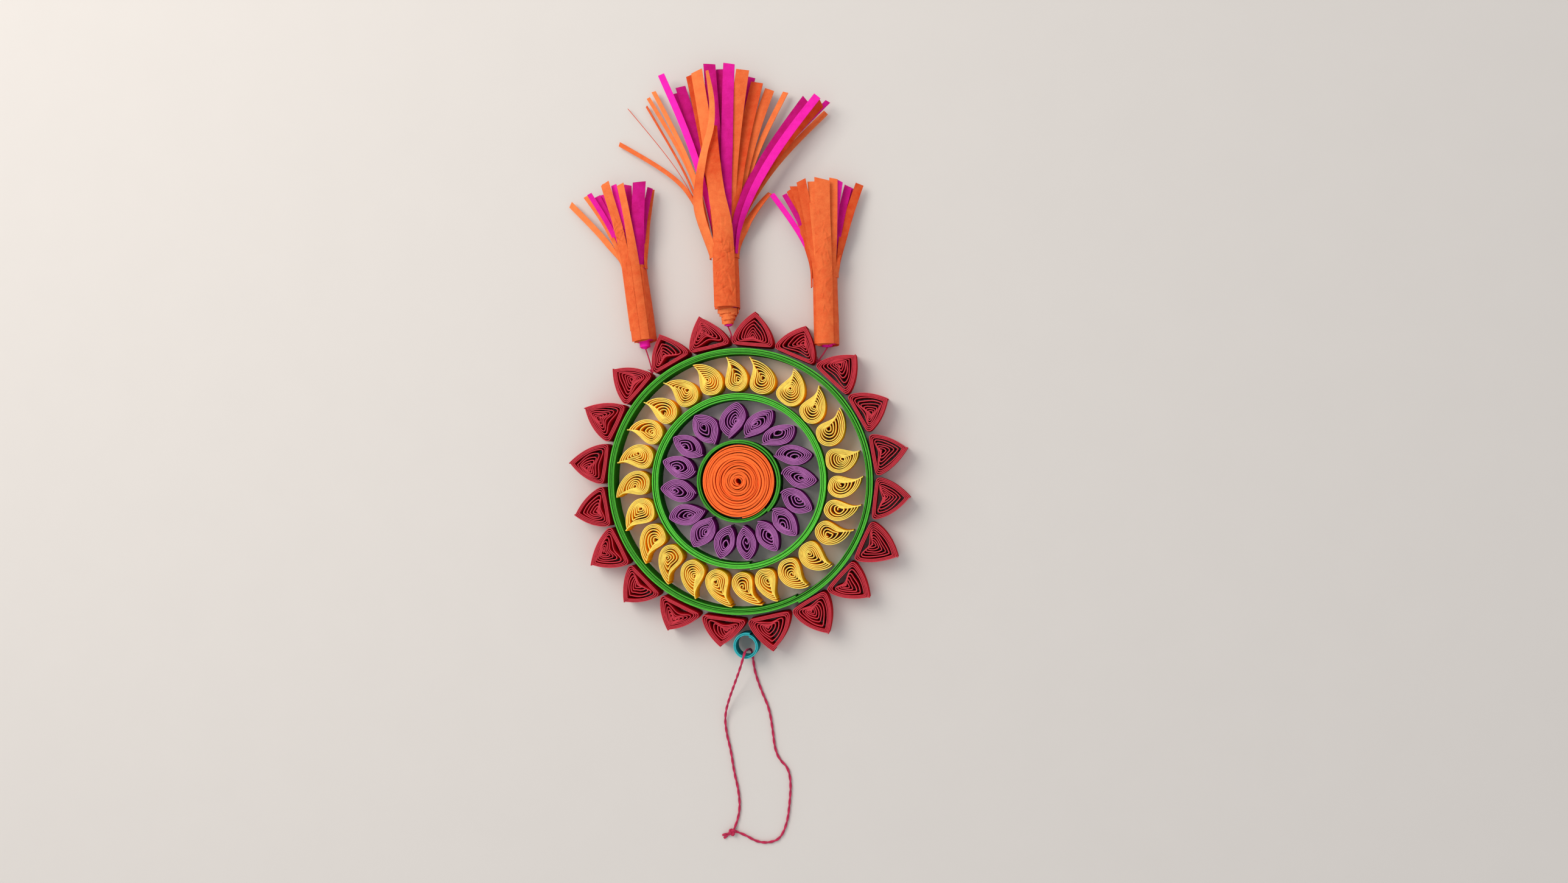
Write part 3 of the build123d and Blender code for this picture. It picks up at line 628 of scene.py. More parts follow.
def sheet_paper(name, colour, deep):
    """Thin coloured sheet: small creases and a pulp grain, deeper in colour where the grain is thick, and
    painted shade that deepens the strips whose tone is low.
    """
    nodes = Nodes(name)
    pulp = nodes.noise(420, 5, 0.62)
    grain = nodes.noise(2400, 3, 0.6)
    # Painted shade: a low tone mixes in the deep colour where a strip lies in shade
    shaded = nodes.ramp(nodes.attribute("tone"), -1, 1, 0.95, 0.0)
    share = nodes.math("ADD", shaded, nodes.ramp(pulp, 0.34, 0.68, -0.08, 0.13))
    nodes.tint_by_tone(nodes.mix(share, colour, deep), 0.05, grain, 0.06)
    nodes.relief((grain, 0.3, 0.05), (pulp, 0.5, 0.3))
    return nodes.finished({"Roughness": 0.7, "Specular IOR Level": 0.08})


def spun_thread(name, colour):
    """Spun cotton: fibres along the strands and a soft sheen."""
    nodes = Nodes(name)
    fibre = nodes.noise(5200, 3, 0.7)
    nodes.tint_by_tone(tuple(colour), 0.18, fibre, 0.25)
    nodes.relief((fibre, 0.6, 0.08))
    return nodes.finished({"Roughness": 0.7, "Sheen Weight": 0.1, "Sheen Roughness": 0.5})


def table_top(name, colour):
    """Plain pale table with a hardly visible grain."""
    nodes = Nodes(name)
    shade = nodes.ramp(nodes.noise(60, 4, 0.6), 0.3, 0.7, 0, 0.12)
    nodes.join(nodes.mix(shade, colour, [channel * 0.9 for channel in colour]), "Base Color")
    nodes.relief((nodes.noise(900, 3, 0.6), 0.15, 0.1))
    return nodes.finished({"Roughness": 0.8})


# Coils

@dataclass
class Winding:
    """How a strip is wound inside its outline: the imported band, the least and most pitch of the loose turns,
    the radius of the eye, how soon turns lose their corners and their length, how far they waver, and how far
    the heart drifts."""
    band: float
    pitch: tuple
    eye: float
    softness: float
    roundness: float
    wobble: float
    drift: float


EYE_WINDING = Winding(1.5 * MM, (0.38 * MM, 0.64 * MM), 0.22 * MM, 0.30, 0.15, 0.10, 0.34)
TEARDROP_WINDING = Winding(1.1 * MM, (0.33 * MM, 0.62 * MM), 0.22 * MM, 0.75, 0.95, 0.04, 0.30)
TRIANGLE_WINDING = Winding(1.1 * MM, (0.38 * MM, 0.72 * MM), 0.24 * MM, 0.26, 0.3, 0.12, 0.36)


def by_turn(turn, values):
    """Values at whole turns, drawn out over the turns between."""
    return np.interp(turn, np.arange(len(values)), values)


def depths_of_turns(reach, winding, paper, rng):
    """Depth of each turn's start below the outline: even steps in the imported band, then ever smaller ones to
    the eye."""
    packed = int(winding.band / paper.packed_pitch)
    room = reach - paper.thickness / 2 - packed * paper.packed_pitch - winding.eye
    loose = rng.uniform(*winding.pitch, max(round(room / np.mean(winding.pitch)), 1))
    loose = np.sort(loose)[::-1]
    steps = np.concatenate([np.full(packed, paper.packed_pitch), loose * room / loose.sum()])
    return paper.thickness / 2 + np.concatenate([[0], np.cumsum(steps)]), packed


# Edges of a wound strip: how far they differ, and their waves in each turn
EDGE_DROP = 0.05 * MM
EDGE_WAVES = 0.37
FOOT_RISE = 0.03 * MM
FOOT_WAVES = 0.61

# Dent in a petal's loose turns: its width in turns, how soon it starts and how much of it is gone at the
# heart
DENT_WIDTH = 0.11
DENT_START = 7
DENT_LOSS = 0.75


def wound_strip(outline, centre, winding, rng, dent):
    """Strip wound into an outline. A turn is the outline drawn in about the centre by its depth. The
    outline is a sum of turning arrows, and in the loose turns the faster arrows fade, so that corners
    soften, and the arrow that turns back fades too, so that the turns get rounder. The middle drifts to the
    heart, and a dent presses the loose turns in halfway along the outline."""
    paper = bpy.context.scene.quilling_paper
    # One strip in two is wound the other way round
    if rng.random() < 0.5:
        outline = np.roll(outline[::-1], 1)
    count = len(outline)
    reach = np.abs(outline - centre).min()
    depths, packed = depths_of_turns(reach, winding, paper, rng)
    turns = len(depths) - 1
    turn = np.arange(turns * count + 1 - rng.integers(count // 2)) / count
    depth = by_turn(turn, depths)
    freed = np.clip((depth - depths[packed]) / (depths[-1] - depths[packed]), 0, 1)
    arrows = np.fft.fft(outline - centre) / count
    orders = np.round(np.fft.fftfreq(count, 1 / count))
    fade = np.exp(-0.5 * (np.maximum(np.abs(orders) - 1, 0) * winding.softness * freed[:, None]) ** 2)
    back = 1 if abs(arrows[1]) < abs(arrows[-1]) else -1
    fade[:, orders == back] *= (1 - winding.roundness * freed ** 1.5)[:, None]
    shape = (fade * np.exp(1j * TAU * orders * turn[:, None])) @ arrows
    waves = np.cos(TAU * (2 * turn + rng.random()))
    waves = waves + np.cos(TAU * (3 * turn + rng.random()) + turn)
    shape *= 1 + winding.wobble / 2 * waves * 4 * freed * (1 - freed)
    heart = winding.drift * reach * np.exp(1j * TAU * rng.random())
    halfway = (turn % 1 - 0.5) / DENT_WIDTH
    pressed = np.clip(freed * DENT_START, 0, 1) * (1 - DENT_LOSS * freed)
    path = centre + heart * freed + (1 - depth / reach) * shape + dent * np.exp(-halfway ** 2) * pressed
    level = rng.uniform(-1, 1, turns + 2)
    settle = EDGE_DROP * (1 + np.sin(TAU * (turn * EDGE_WAVES + rng.random())))
    step = EDGE_DROP * (1 + by_turn(turn, level))
    high = STRIP_WIDTH - settle - step
    low = FOOT_RISE * (1 + np.sin(TAU * (turn * FOOT_WAVES + rng.random())))
    tone = by_turn(turn, rng.uniform(-1, 1, turns + 2))
    return strip_surface(path, paper.thickness, low, high, tone)


@dataclass
class RingLook:
    """How a ring's layers look: the share of the pitch that the paper fills, how far a layer may stand below
    the others, and how far it may bend off its circle."""
    fill: float
    drop: float
    bend: float


GREEN_LOOK = RingLook(0.76, 0.6 * MM, 0.07 * MM)
TEAL_LOOK = RingLook(0.8, 0.3 * MM, 0.02 * MM)
COIL_LOOK = RingLook(0.82, 0.6 * MM, 0.08 * MM)

# Torn edge of a ring's layers: its depth, its share of the tone and the places that each tear spreads over
TORN_DEPTH = 0.08 * MM
TORN_TONE = 0.3
TORN_PLACES = 5

# Bends of a ring's layers in each turn
BEND_WAVES = (1.13, 2.31)


def ring_strip(centre, radius, pitches, steps, low, high, look, rng):
    """Strip wound to a flat ring: the radius shrinks by a pitch from turn to turn, with slow waves for its
    bends, which fade in the first and the last quarter turn, and each turn's cut edge stands at a slightly
    different height."""
    turns = len(pitches) - 1
    depths = np.cumsum(pitches) - pitches / 2
    turn = np.arange(turns * steps + 1) / steps
    depth = by_turn(turn, depths)
    thickness = by_turn(turn, pitches) * look.fill
    slow = sum(np.sin(TAU * turn * waves + rng.random() * 6) for waves in BEND_WAVES)
    inside = np.clip(4 * turn, 0, 1) * np.clip(4 * (turns - turn), 0, 1)
    path = centre + (radius - depth + slow * look.bend * inside) * np.exp(1j * TAU * (turn + rng.random()))
    level = rng.uniform(0, 1, turns + 2) ** 2
    ragged = rng.uniform(-1, 1, len(turn) + TORN_PLACES - 1)
    torn = np.convolve(ragged, np.ones(TORN_PLACES) / TORN_PLACES, "valid")
    edge = high - look.drop * by_turn(turn, level) - TORN_DEPTH * (1 + torn)
    tone = by_turn(turn, rng.uniform(-1, 1, turns + 2)) + TORN_TONE * torn
    return strip_surface(path, thickness, low, edge, np.clip(tone, -1, 1))


def uneven_pitches(band, pitch, unevenness, rng):
    """Pitches of about one size that fill a band, each more or less by a share."""
    pitches = rng.uniform(1 - unevenness, 1 + unevenness, max(round(band / pitch), 3))
    return pitches * band / pitches.sum()


class PetalRow:
    """A row of petals round the medallion, each in its own cell between two radii. A cell point has u, from
    -1 to 1 across the cell clockwise, and v, from 0 to 1 outwards. Sway gives how much of its lean a petal
    has at v."""

    def __init__(self, start, turns, leans, inner, outers, sway):
        count = len(turns)
        self.angles = np.radians(start - 360 / count * np.arange(count) + np.array(turns))
        self.slants = np.tan(np.radians(leans))
        self.inner = inner
        self.outers = np.broadcast_to(outers, count)
        self.sway = sway

    def middle(self, number, v, radius):
        """Angle of a petal's leaning middle line."""
        rounds, index = divmod(number, len(self.angles))
        room = self.outers[index] - self.inner
        return self.angles[index] - TAU * rounds + self.sway(v) * room * self.slants[index] / radius

    def plan(self, number, u, v):
        """Complex plan places of cell points."""
        radius = self.inner + (self.outers[number] - self.inner) * v
        middle = self.middle(number, v, radius)
        beside = np.where(u > 0, self.middle(number + 1, v, radius), self.middle(number - 1, v, radius))
        edge = np.abs(beside - middle) / 2 - GLUE_GAP / 2 / radius
        return radius * np.exp(1j * (middle - edge * u))


def even_side(places, count):
    """Evenly spaced places along one side of an outline, without its end."""
    reach = np.concatenate([[0], np.cumsum(np.abs(np.diff(places)))])
    stations = np.linspace(0, reach[-1], count + 1)[:-1]
    return np.interp(stations, reach, places.real) + 1j * np.interp(stations, reach, places.imag)


def bent(start, pull, end):
    """Cell points on a curve from a start to an end, drawn towards a pull: (1-s)^2, 2s(1-s) and s^2 of the
    three."""
    share = np.linspace(0, 1, SIDE_PLACES)
    return [a * (1 - share) ** 2 + 2 * b * share * (1 - share) + c * share ** 2
            for a, b, c in zip(start, pull, end)]


def eye_outline(row, number):
    """Eye: two bowed sides between an inner and an outer point. u is sin(pi v) to a power, times the middle
    radius over the radius at v, so that the eye is as wide inside as outside."""
    v = (1 - np.cos(np.linspace(0, np.pi, SIDE_PLACES))) / 2
    radius = row.inner + (row.outers[number] - row.inner) * v
    even = radius.mean() / radius
    u = np.minimum(np.maximum(np.sin(np.pi * v), 0) ** EYE_SIDE_POWER * even, 1)
    right = row.plan(number, u, v)
    left = row.plan(number, -u[::-1], v[::-1])
    return np.concatenate([even_side(right, TURN_STEPS // 2), even_side(left, TURN_STEPS // 2)])


def teardrop_outline(row, number):
    """Teardrop: u = -sin(s) |sin(s/2)| to a power and v = (1 + cos(s)) / 2, from its point round its bulb.
    The side that the point hooks to has the greater power, and is hollow below the point."""
    turn = np.linspace(0, TAU, 2 * SIDE_PLACES)
    hollow, full = TEARDROP_HOOK_POWERS
    u = -np.sin(turn) * np.abs(np.sin(turn / 2)) ** np.where(turn < np.pi, hollow, full)
    u = np.where(u < 0, u / -u.min(), u / u.max())
    return even_side(row.plan(number, u, (1 + np.cos(turn)) / 2), TURN_STEPS)


def triangle_outline(row, number):
    """Triangle: bowed sides down to blunt corners, and a base that lies along the ring."""
    share, rise = TRIANGLE_CORNER
    pull_u, pull_v = TRIANGLE_SIDE_PULL
    side = bent((0, 1), (-pull_u, pull_v), (-1, rise))
    corner = bent((-1, rise), (-1, 0), (-share, 0))
    base_u = np.linspace(-share, share, SIDE_PLACES)
    base_v = -TRIANGLE_BASE_DROP * (1 - (base_u / share) ** 2)
    down_u, down_v = np.concatenate([side[0], corner[0]]), np.concatenate([side[1], corner[1]])
    left = row.plan(number, down_u, down_v)
    base = row.plan(number, base_u, base_v)
    right = row.plan(number, -down_u[::-1], down_v[::-1])
    base_steps = TURN_STEPS - 2 * TRIANGLE_SIDE_STEPS
    return np.concatenate([even_side(left, TRIANGLE_SIDE_STEPS), even_side(base, base_steps),
                           even_side(right, TRIANGLE_SIDE_STEPS)])


def wind_petals(colour, kind, row, outline, heart, winding, node=None, dents=None):
    """Wind each petal of a row into its outline, round its heart, with draws seeded by its place in it."""
    scene = bpy.context.scene
    shades = scene.quilling_colours
    # The wall colour gives painted shade and the edge colour a painted highlight
    paper = strip_paper(f"{colour}_{kind}_paper", getattr(shades, colour), getattr(shades, colour + "_edge"))
    for number, dent in enumerate(dents or [0] * len(row.angles)):
        rng = np.random.default_rng([scene.quilling_paper.seed, len(kind), number])
        middle = row.plan(number, 0, heart)
        strip = wound_strip(outline(row, number), middle, winding, rng, dent * MM * middle / abs(middle))
        put_piece(f"{colour}_{kind}_strip_{number + 1:02d}", [strip], paper, "paper_" + colour,
                  node or f"{colour}_{kind}_{number + 1:02d}")


# Tassels. A packed tube's rim is what lies within this reach of its end, and paper keeps this far off the
# table.
RIM_REACH = 0.1 * MM
TABLE_GAP = 0.02 * MM


class Tube:
    """A tassel's tube: its directions across, along its axis from the tie end to the fringe, and up, and its
    size."""

    def __init__(self, tassel):
        lean = math.radians(tassel.lean)
        self.across = np.array([math.cos(lean), math.sin(lean), 0])
        self.axis = np.array([-math.sin(lean), math.cos(lean), 0])
        self.up = np.array([0, 0, 1.0])
        self.radius = tassel.diameter / 2 * MM
        self.length = tassel.length * MM
        places = node_places(tassel.name + "_wrap")
        reach = places @ self.axis
        self.start = places[reach < reach.min() + RIM_REACH].mean(0)

    def place(self, sideways, station, upwards):
        """Places from distances across, along and up."""
        return (self.start + np.multiply.outer(sideways, self.across) + np.multiply.outer(station, self.axis)
                + np.multiply.outer(upwards, self.up))

    def rolled(self, surface):
        """Turn a strip that stands on edge so that its height runs along the axis."""
        plan_x, plan_y, height = surface.places.T
        surface.places = self.place(-plan_x, height, plan_y)
        surface.rise = np.full(len(surface.places), 0.5)
        return surface


def node_places(name):
    """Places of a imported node's corners."""
    return mesh_places(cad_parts[name].data)


# Creases: how far they spread round a tube in half turns, their places along it, their slant, and in
# millimetres half their length, their width and their height, and the share of them that are ridges
CREASE_SPREAD = 0.16
CREASE_PLACES = (0.05, 1.02)
CREASE_SLANT = 0.7
CREASE_HALVES = (0.6, 2.4)
CREASE_WIDTHS = (0.13, 0.32)
CREASE_HEIGHTS = (0.06, 0.24)
RIDGE_SHARE = 0.7

# Facets: how flat they are, where the first starts, and the length in which they turn by a radian
FACET_SHARE = 0.62
FACET_START = 0.3
FACET_TWIST = 90 * MM

# Rolled sheet: steps in a turn and along it, the pitch of its turns in thicknesses, its slack and its torn
# rim
SHEET_TURN_STEPS = 132
SHEET_STEP = 0.18 * MM
SHEET_PITCH = 1.5
SLACK_LENGTH = 4 * MM
SLACK_WAVE = 0.06 * MM
SLACK_RIPPLE = 0.03 * MM
RIM_WAVE = 0.25 * MM
RIM_TEAR = 0.08 * MM


def creased(around, station, radius, span, count, rng):
    """Height of creases over a rolled sheet: each is a ridge or a groove along a short line within a span,
    with a bell-shaped section across it and soft ends."""
    middle_around = np.pi * (0.5 + CREASE_SPREAD * rng.standard_normal(count)) * radius
    middle_station = rng.uniform(*CREASE_PLACES, count) * span
    slant = rng.normal(0, CREASE_SLANT, count)
    half = rng.uniform(*CREASE_HALVES, count) * MM
    sharp = rng.uniform(*CREASE_WIDTHS, count) * MM
    tall = rng.uniform(*CREASE_HEIGHTS, count) * MM * np.where(rng.random(count) < RIDGE_SHARE, 1, -1)
    off_around = (around * radius)[..., None] - middle_around
    off_station = station[..., None] - middle_station
    lengthwise = off_station * np.cos(slant) + off_around * np.sin(slant)
    sideways = off_around * np.cos(slant) - off_station * np.sin(slant)
    return (tall * np.exp(-(sideways / sharp) ** 2 - (lengthwise / half) ** 4)).sum(-1)


def faceted(angle, facets):
    """Share of the radius on a tube pressed into flat facets: the flat's distance over the cosine of the
    angle from its middle, mixed with the round."""
    half = np.pi / facets
    flat = math.cos(half) / np.cos(np.mod(angle + FACET_START, 2 * half) - half)
    return 1 + FACET_SHARE * (flat - 1)


def rolled_sheet(tube, radius, start, length, turns, edge, creases, facets, thickness, tone, rng):
    """Sheet rolled to a tube: the angle runs past a full turn, the radius grows with it by the sheet's
    thickness, and facets, creases and a slack wave stand on it. A flat spot lies on the table."""
    angle = np.linspace(0, TAU * turns, int(SHEET_TURN_STEPS * turns))
    station = np.linspace(0, length, max(int(length / SHEET_STEP), 8))
    around, along = np.meshgrid(angle, station, indexing="ij")
    world = around + math.radians(edge) - TAU * turns
    slack = SLACK_WAVE * np.sin(2 * world + along / SLACK_LENGTH) + SLACK_RIPPLE * np.sin(5 * world + 1)
    grown = radius - thickness * (turns - around / TAU) * SHEET_PITCH + slack
    if facets:
        grown = grown * faceted(world + along / FACET_TWIST, facets)
    grown = grown + creased(np.mod(world, TAU), along, radius, length, creases, rng)
    torn = (RIM_WAVE * np.sin(2 * world + 0.7) + RIM_TEAR * np.sin(7 * world + 2)) * (1 - along / length)
    floor = thickness / 2 + TABLE_GAP - tube.start[2]
    upwards = np.maximum(grown * np.sin(world), floor)
    grid = tube.place(grown * np.cos(world), start + along + torn, upwards)
    return sheet_surface(grid, thickness, tone)


def through(stops, count):
    """Smooth line through its stops: between two stops it is the cubic whose slope at each stop is half the
    way from the stop before to the stop after."""
    slope = np.gradient(stops, axis=0)
    place = np.linspace(0, len(stops) - 1, count)
    span = np.minimum(place.astype(int), len(stops) - 2)
    share = (place - span)[:, None]
    return (stops[span] * (1 + 2 * share) * (1 - share) ** 2 + slope[span] * share * (1 - share) ** 2
            + stops[span + 1] * share ** 2 * (3 - 2 * share) - slope[span + 1] * share ** 2 * (1 - share))


def along_stops(share, values):
    """Values at even stops along a strip, drawn out over it."""
    return np.interp(share, np.linspace(0, 1, len(values)), values)


# Fringe strip: rows above and below the rim and columns, the ranges that its bulge and rise in millimetres,
# its bow, its slanted cut and its ripples are drawn from, how soon it turns flat, and the creased part of
# its length
CREASED_GRID = (160, 80, 41)
PLAIN_GRID = (40, 12, 7)
FRINGE_BULGES = (0, 0.8)
FRINGE_RISES = (-0.5, 0.9)
FRINGE_BOWS = (-0.15, 0.3)
FRINGE_CUTS = (-0.35, 0.35)
FRINGE_RIPPLES = (5, 11)
RIPPLE_HEIGHT = 0.12 * MM
FLATTENING = 2.2
CREASED_LENGTH = 1.6


def fringe_strip(tube, strip, thickness, inset, rng):
    """One strip of a fringe: its middle line runs from the tube's rim through its stops to its tip, or as a
    cubic curve that keeps to the axis at first, and below the rim it lies straight on the tube. Its width
    lies along the rim at the root, turns flat on the way and twists, and its section is bowed at the root
    as the tube is."""
    angle = math.radians(strip.root)
    outwards = tube.across * math.cos(angle) + tube.up * math.sin(angle)
    rim = tube.across * -math.sin(angle) + tube.up * math.cos(angle)
    root = tube.start + tube.axis * tube.length + outwards * (tube.radius - inset + strip.lift * MM)
    tip = np.array(strip.tip) * MM
    reach = np.linalg.norm(tip - root)
    bulge = strip.bulge + rng.uniform(*FRINGE_BULGES)
    keep = root + tube.axis * (reach * strip.keeps) + outwards * bulge * MM
    turn = tip + (keep - tip) * strip.bend + tube.up * rng.uniform(*FRINGE_RISES) * MM
    rows, rows_below, columns = CREASED_GRID if strip.creases else PLAIN_GRID
    free = np.linspace(0, 1, rows)[:, None]
    free_line = (root * (1 - free) ** 3 + 3 * keep * free * (1 - free) ** 2
                 + 3 * turn * free ** 2 * (1 - free) + tip * free ** 3)
    if strip.by:
        free_line = through(np.concatenate([root[None], np.array(strip.by) * MM, tip[None]]), rows)
    below = np.linspace(-strip.down * MM, 0, rows_below)[:-1, None]
    middle = np.concatenate([root + tube.axis * below, free_line])
    share = np.concatenate([np.zeros_like(below), free])
    ahead = unit(np.gradient(middle, axis=0))
    flat = unit(np.cross(ahead, tube.up))
    level = np.cross(flat, ahead)
    twisted = np.radians(strip.twist) * share ** 1.3
    if np.dot(rim, flat[0]) < 0:
        rim = -rim
    settle = np.clip(share * FLATTENING, 0, 1) ** 1.5
    across = rim * (1 - settle) + (flat * np.cos(twisted) + level * np.sin(twisted)) * settle
    across = unit(across - ahead * (across * ahead).sum(1, keepdims=True))
    above = np.cross(across, ahead)
    width = along_stops(share, strip.widths if strip.by else (*strip.widths, strip.widths[-1])) * MM
    side = np.linspace(-0.5, 0.5, columns)
    bow = (width / tube.radius) * (1 - settle) + rng.uniform(*FRINGE_BOWS)
    cup = bow * width * (0.25 - side ** 2) * 0.5
    cut = rng.uniform(*FRINGE_CUTS) * width * share ** 8
    ripple = RIPPLE_HEIGHT * np.sin(share * rng.uniform(*FRINGE_RIPPLES) + rng.random() * 6) * share
    height = cup + ripple
    if strip.creases:
        around = np.pi / 2 + width * side / tube.radius
        station = np.linspace(0, 1, len(middle))[:, None] * (strip.down * MM + reach)
        station = np.broadcast_to(station, around.shape)
        span = strip.down * CREASED_LENGTH * MM
        height = height + creased(around, station, tube.radius, span, strip.creases, rng)
    grid = (middle[:, None] + across[:, None] * (width * side)[..., None]
            + above[:, None] * height[..., None] + ahead[:, None] * (cut * side)[..., None])
    grid[..., 2] = np.maximum(grid[..., 2], thickness / 2 + TABLE_GAP)
    # The strip's tones along its length are painted light and shade
    return sheet_surface(grid, thickness, along_stops(share, np.atleast_1d(strip.tone)))


# Tight roll: steps in a turn, how much its radius shrinks, the wave of its end, and its tones
ROLL_TURN_STEPS = 40
ROLL_SHRINK = 0.85
ROLL_WAVE = 0.1 * MM
ROLL_TONES = (0.8, 0.2)


def tight_roll(tube, radius, start, length, turns, rise, thickness, rng):
    """Sheet rolled up tight: a spiral whose radius shrinks evenly, carried along the tassel's axis. Its end
    rises or falls from the outside to the middle."""
    turn = np.linspace(0, turns, int(turns * ROLL_TURN_STEPS))
    shrink = radius * (1 - ROLL_SHRINK * turn / turns)
    path = shrink * np.exp(1j * TAU * (turn + rng.random()))
    path = path.real + 1j * np.maximum(path.imag, thickness - tube.start[2])
    low = start + rise * (1 - turn / turns) + ROLL_WAVE * np.sin(turn * 5)
    tone = ROLL_TONES[0] + ROLL_TONES[1] * np.sin(turn * 4)
    return tube.rolled(strip_surface(path, thickness, low, start + length, tone))


# Knots: steps and sides of the knotted line, and how wide its formula draws it
KNOT_STEPS = 73
KNOT_SIDES = 8
KNOT_SPAN = 6


def knot_surface(place, size, radius):
    """Knot: a three-lobed knotted line, x = sin t + 2 sin 2t, y = cos t - 2 cos 2t and z = -sin 3t, as a
    tube."""
    turn = np.linspace(0, TAU, KNOT_STEPS)
    line = np.stack([np.sin(turn) + 2 * np.sin(2 * turn), np.cos(turn) - 2 * np.cos(2 * turn),
                     -np.sin(3 * turn)], 1)
    return tube_surface(np.array(place) + line * size / KNOT_SPAN, radius, KNOT_SIDES)


# Tassel sheets: turns and tone of the tube, and how far inside it the fringes' roots lie
SHEET_TURNS = 1.25
TUBE_TONE = -0.3
OUTER_INSET = 0.15 * MM
INNER_INSET = 1.0 * MM

# Inner roll: turns, room inside the tube, start, how much shorter than the tube, and thickness, and the tip's
# turns, slope, length inside the tube and thickness
CORE_TURNS = 7
CORE_ROOM = 0.9 * MM
CORE_START = 0.3 * MM
CORE_SHORTER = 1.0 * MM
CORE_THICKNESS = 0.3 * MM
TIP_TURNS = 4
TIP_SLOPE = 0.3
TIP_INSIDE = 1.0 * MM
TIP_THICKNESS = 0.25 * MM

# Cone round the centre tassel's tip: how far it reaches, the turns of each sheet, the degrees from one edge
# to the next, creases, the turns of the roll in a sheet and its room in millimetres, thickness and tone
CONE_REACH = 4.6 * MM
CONE_SHEET_TURNS = 1.6
CONE_EDGE_STEP = 60
CONE_CREASES = 3
CONE_ROLL_TURNS = 5
CONE_ROLL_ROOM = 0.35
CONE_THICKNESS = 0.3 * MM
CONE_TONE = 0.4

# Tie threads: corners of a packed tie at its knot and its end, how far the line passes them, its slack in
# millimetres, its radius and sides, its knot, and its two tails
TIE_KNOT_CORNERS = 12
TIE_END_CORNERS = 4
TIE_SPAN = (-0.12, 1.05)
TIE_STEPS = 14
TIE_SLACK = 0.12
TIE_RADIUS = 0.22 * MM
TIE_SIDES = 8
TIE_KNOT_SIZE = 1.15 * MM
TIE_KNOT_RADIUS = 0.24 * MM
TIE_TAIL_SPREADS = (-50, 35)
TIE_TAIL_RISE = 0.5
TIE_TAIL_REACH = 1.3 * MM
TIE_TAIL_RADII = (0.2, 0.1)
TIE_TAIL_STEPS = 6
TIE_TAIL_SIDES = 6


def tassel_sheet(tube, tassel, thickness, rng):
    """Orange sheet rolled to the tube, with the strips of its fringe."""
    roll = rolled_sheet(tube, tube.radius, 0.0, tube.length, SHEET_TURNS, tassel.edge, tassel.creases,
                        tassel.facets, thickness, TUBE_TONE, rng)
    return [roll] + [fringe_strip(tube, strip, thickness, OUTER_INSET, rng) for strip in tassel.outer]


def inner_roll(tube, tassel, cone, thickness, rng):
    """Magenta sheet rolled up inside the tube, its narrow tip, and the strips of its fringe."""
    diameter, length = (value * MM for value in tassel.tip)
    rolls = [tight_roll(tube, tube.radius - CORE_ROOM, CORE_START, tube.length - CORE_SHORTER, CORE_TURNS,
                        0.0, CORE_THICKNESS, rng),
             tight_roll(tube, diameter / 2, -length - cone, length + cone + TIP_INSIDE, TIP_TURNS,
                        length * TIP_SLOPE, TIP_THICKNESS, rng)]
    return rolls + [fringe_strip(tube, strip, thickness, INNER_INSET, rng) for strip in tassel.inner]


def cone_turns(tube, rng):
    """Narrow strip wound round the tip in ever smaller turns, each a rolled sheet with a tight roll in it."""
    sheets = [rolled_sheet(tube, radius * MM, (station - length) * MM, length * MM, CONE_SHEET_TURNS,
                           CONE_EDGE_STEP * step, CONE_CREASES, 0, CONE_THICKNESS, CONE_TONE, rng)
              for step, (radius, station, length) in enumerate(CONE_TURNS)]
    return sheets + [tight_roll(tube, (radius - CONE_ROLL_ROOM) * MM, (station - length) * MM, length * MM,
                                CONE_ROLL_TURNS, 0.0, CONE_THICKNESS, rng)
                     for radius, station, length in CONE_TURNS]


def tie_thread(tube, node):
    """Tie: a line with a little slack, half a sine wave, from the knot at the medallion to the tassel's tip,
    the knot, and two tails."""
    places = np.unique(node_places(node).round(6), axis=0)
    order = np.argsort(np.hypot(places[:, 0], places[:, 1]))
    knot = places[order[:TIE_KNOT_CORNERS]].mean(0)
    end = places[order[-TIE_END_CORNERS:]].mean(0)
    share = np.linspace(*TIE_SPAN, TIE_STEPS)[:, None]
    line = knot + (end - knot) * share + tube.across * TIE_SLACK * MM * np.sin(np.pi * share)
    surfaces = [tube_surface(line, TIE_RADIUS, TIE_SIDES), knot_surface(knot, TIE_KNOT_SIZE, TIE_KNOT_RADIUS)]
    for spread in TIE_TAIL_SPREADS:
        angle = math.radians(spread) + math.atan2(knot[1], knot[0])
        way = np.array([math.cos(angle), math.sin(angle), TIE_TAIL_RISE])
        tail = knot + way * np.linspace(0, TIE_TAIL_REACH, TIE_TAIL_STEPS)[:, None]
        radii = np.linspace(*TIE_TAIL_RADII, TIE_TAIL_STEPS) * MM
        surfaces.append(tube_surface(tail, radii, TIE_TAIL_SIDES))
    return surfaces


# Operators

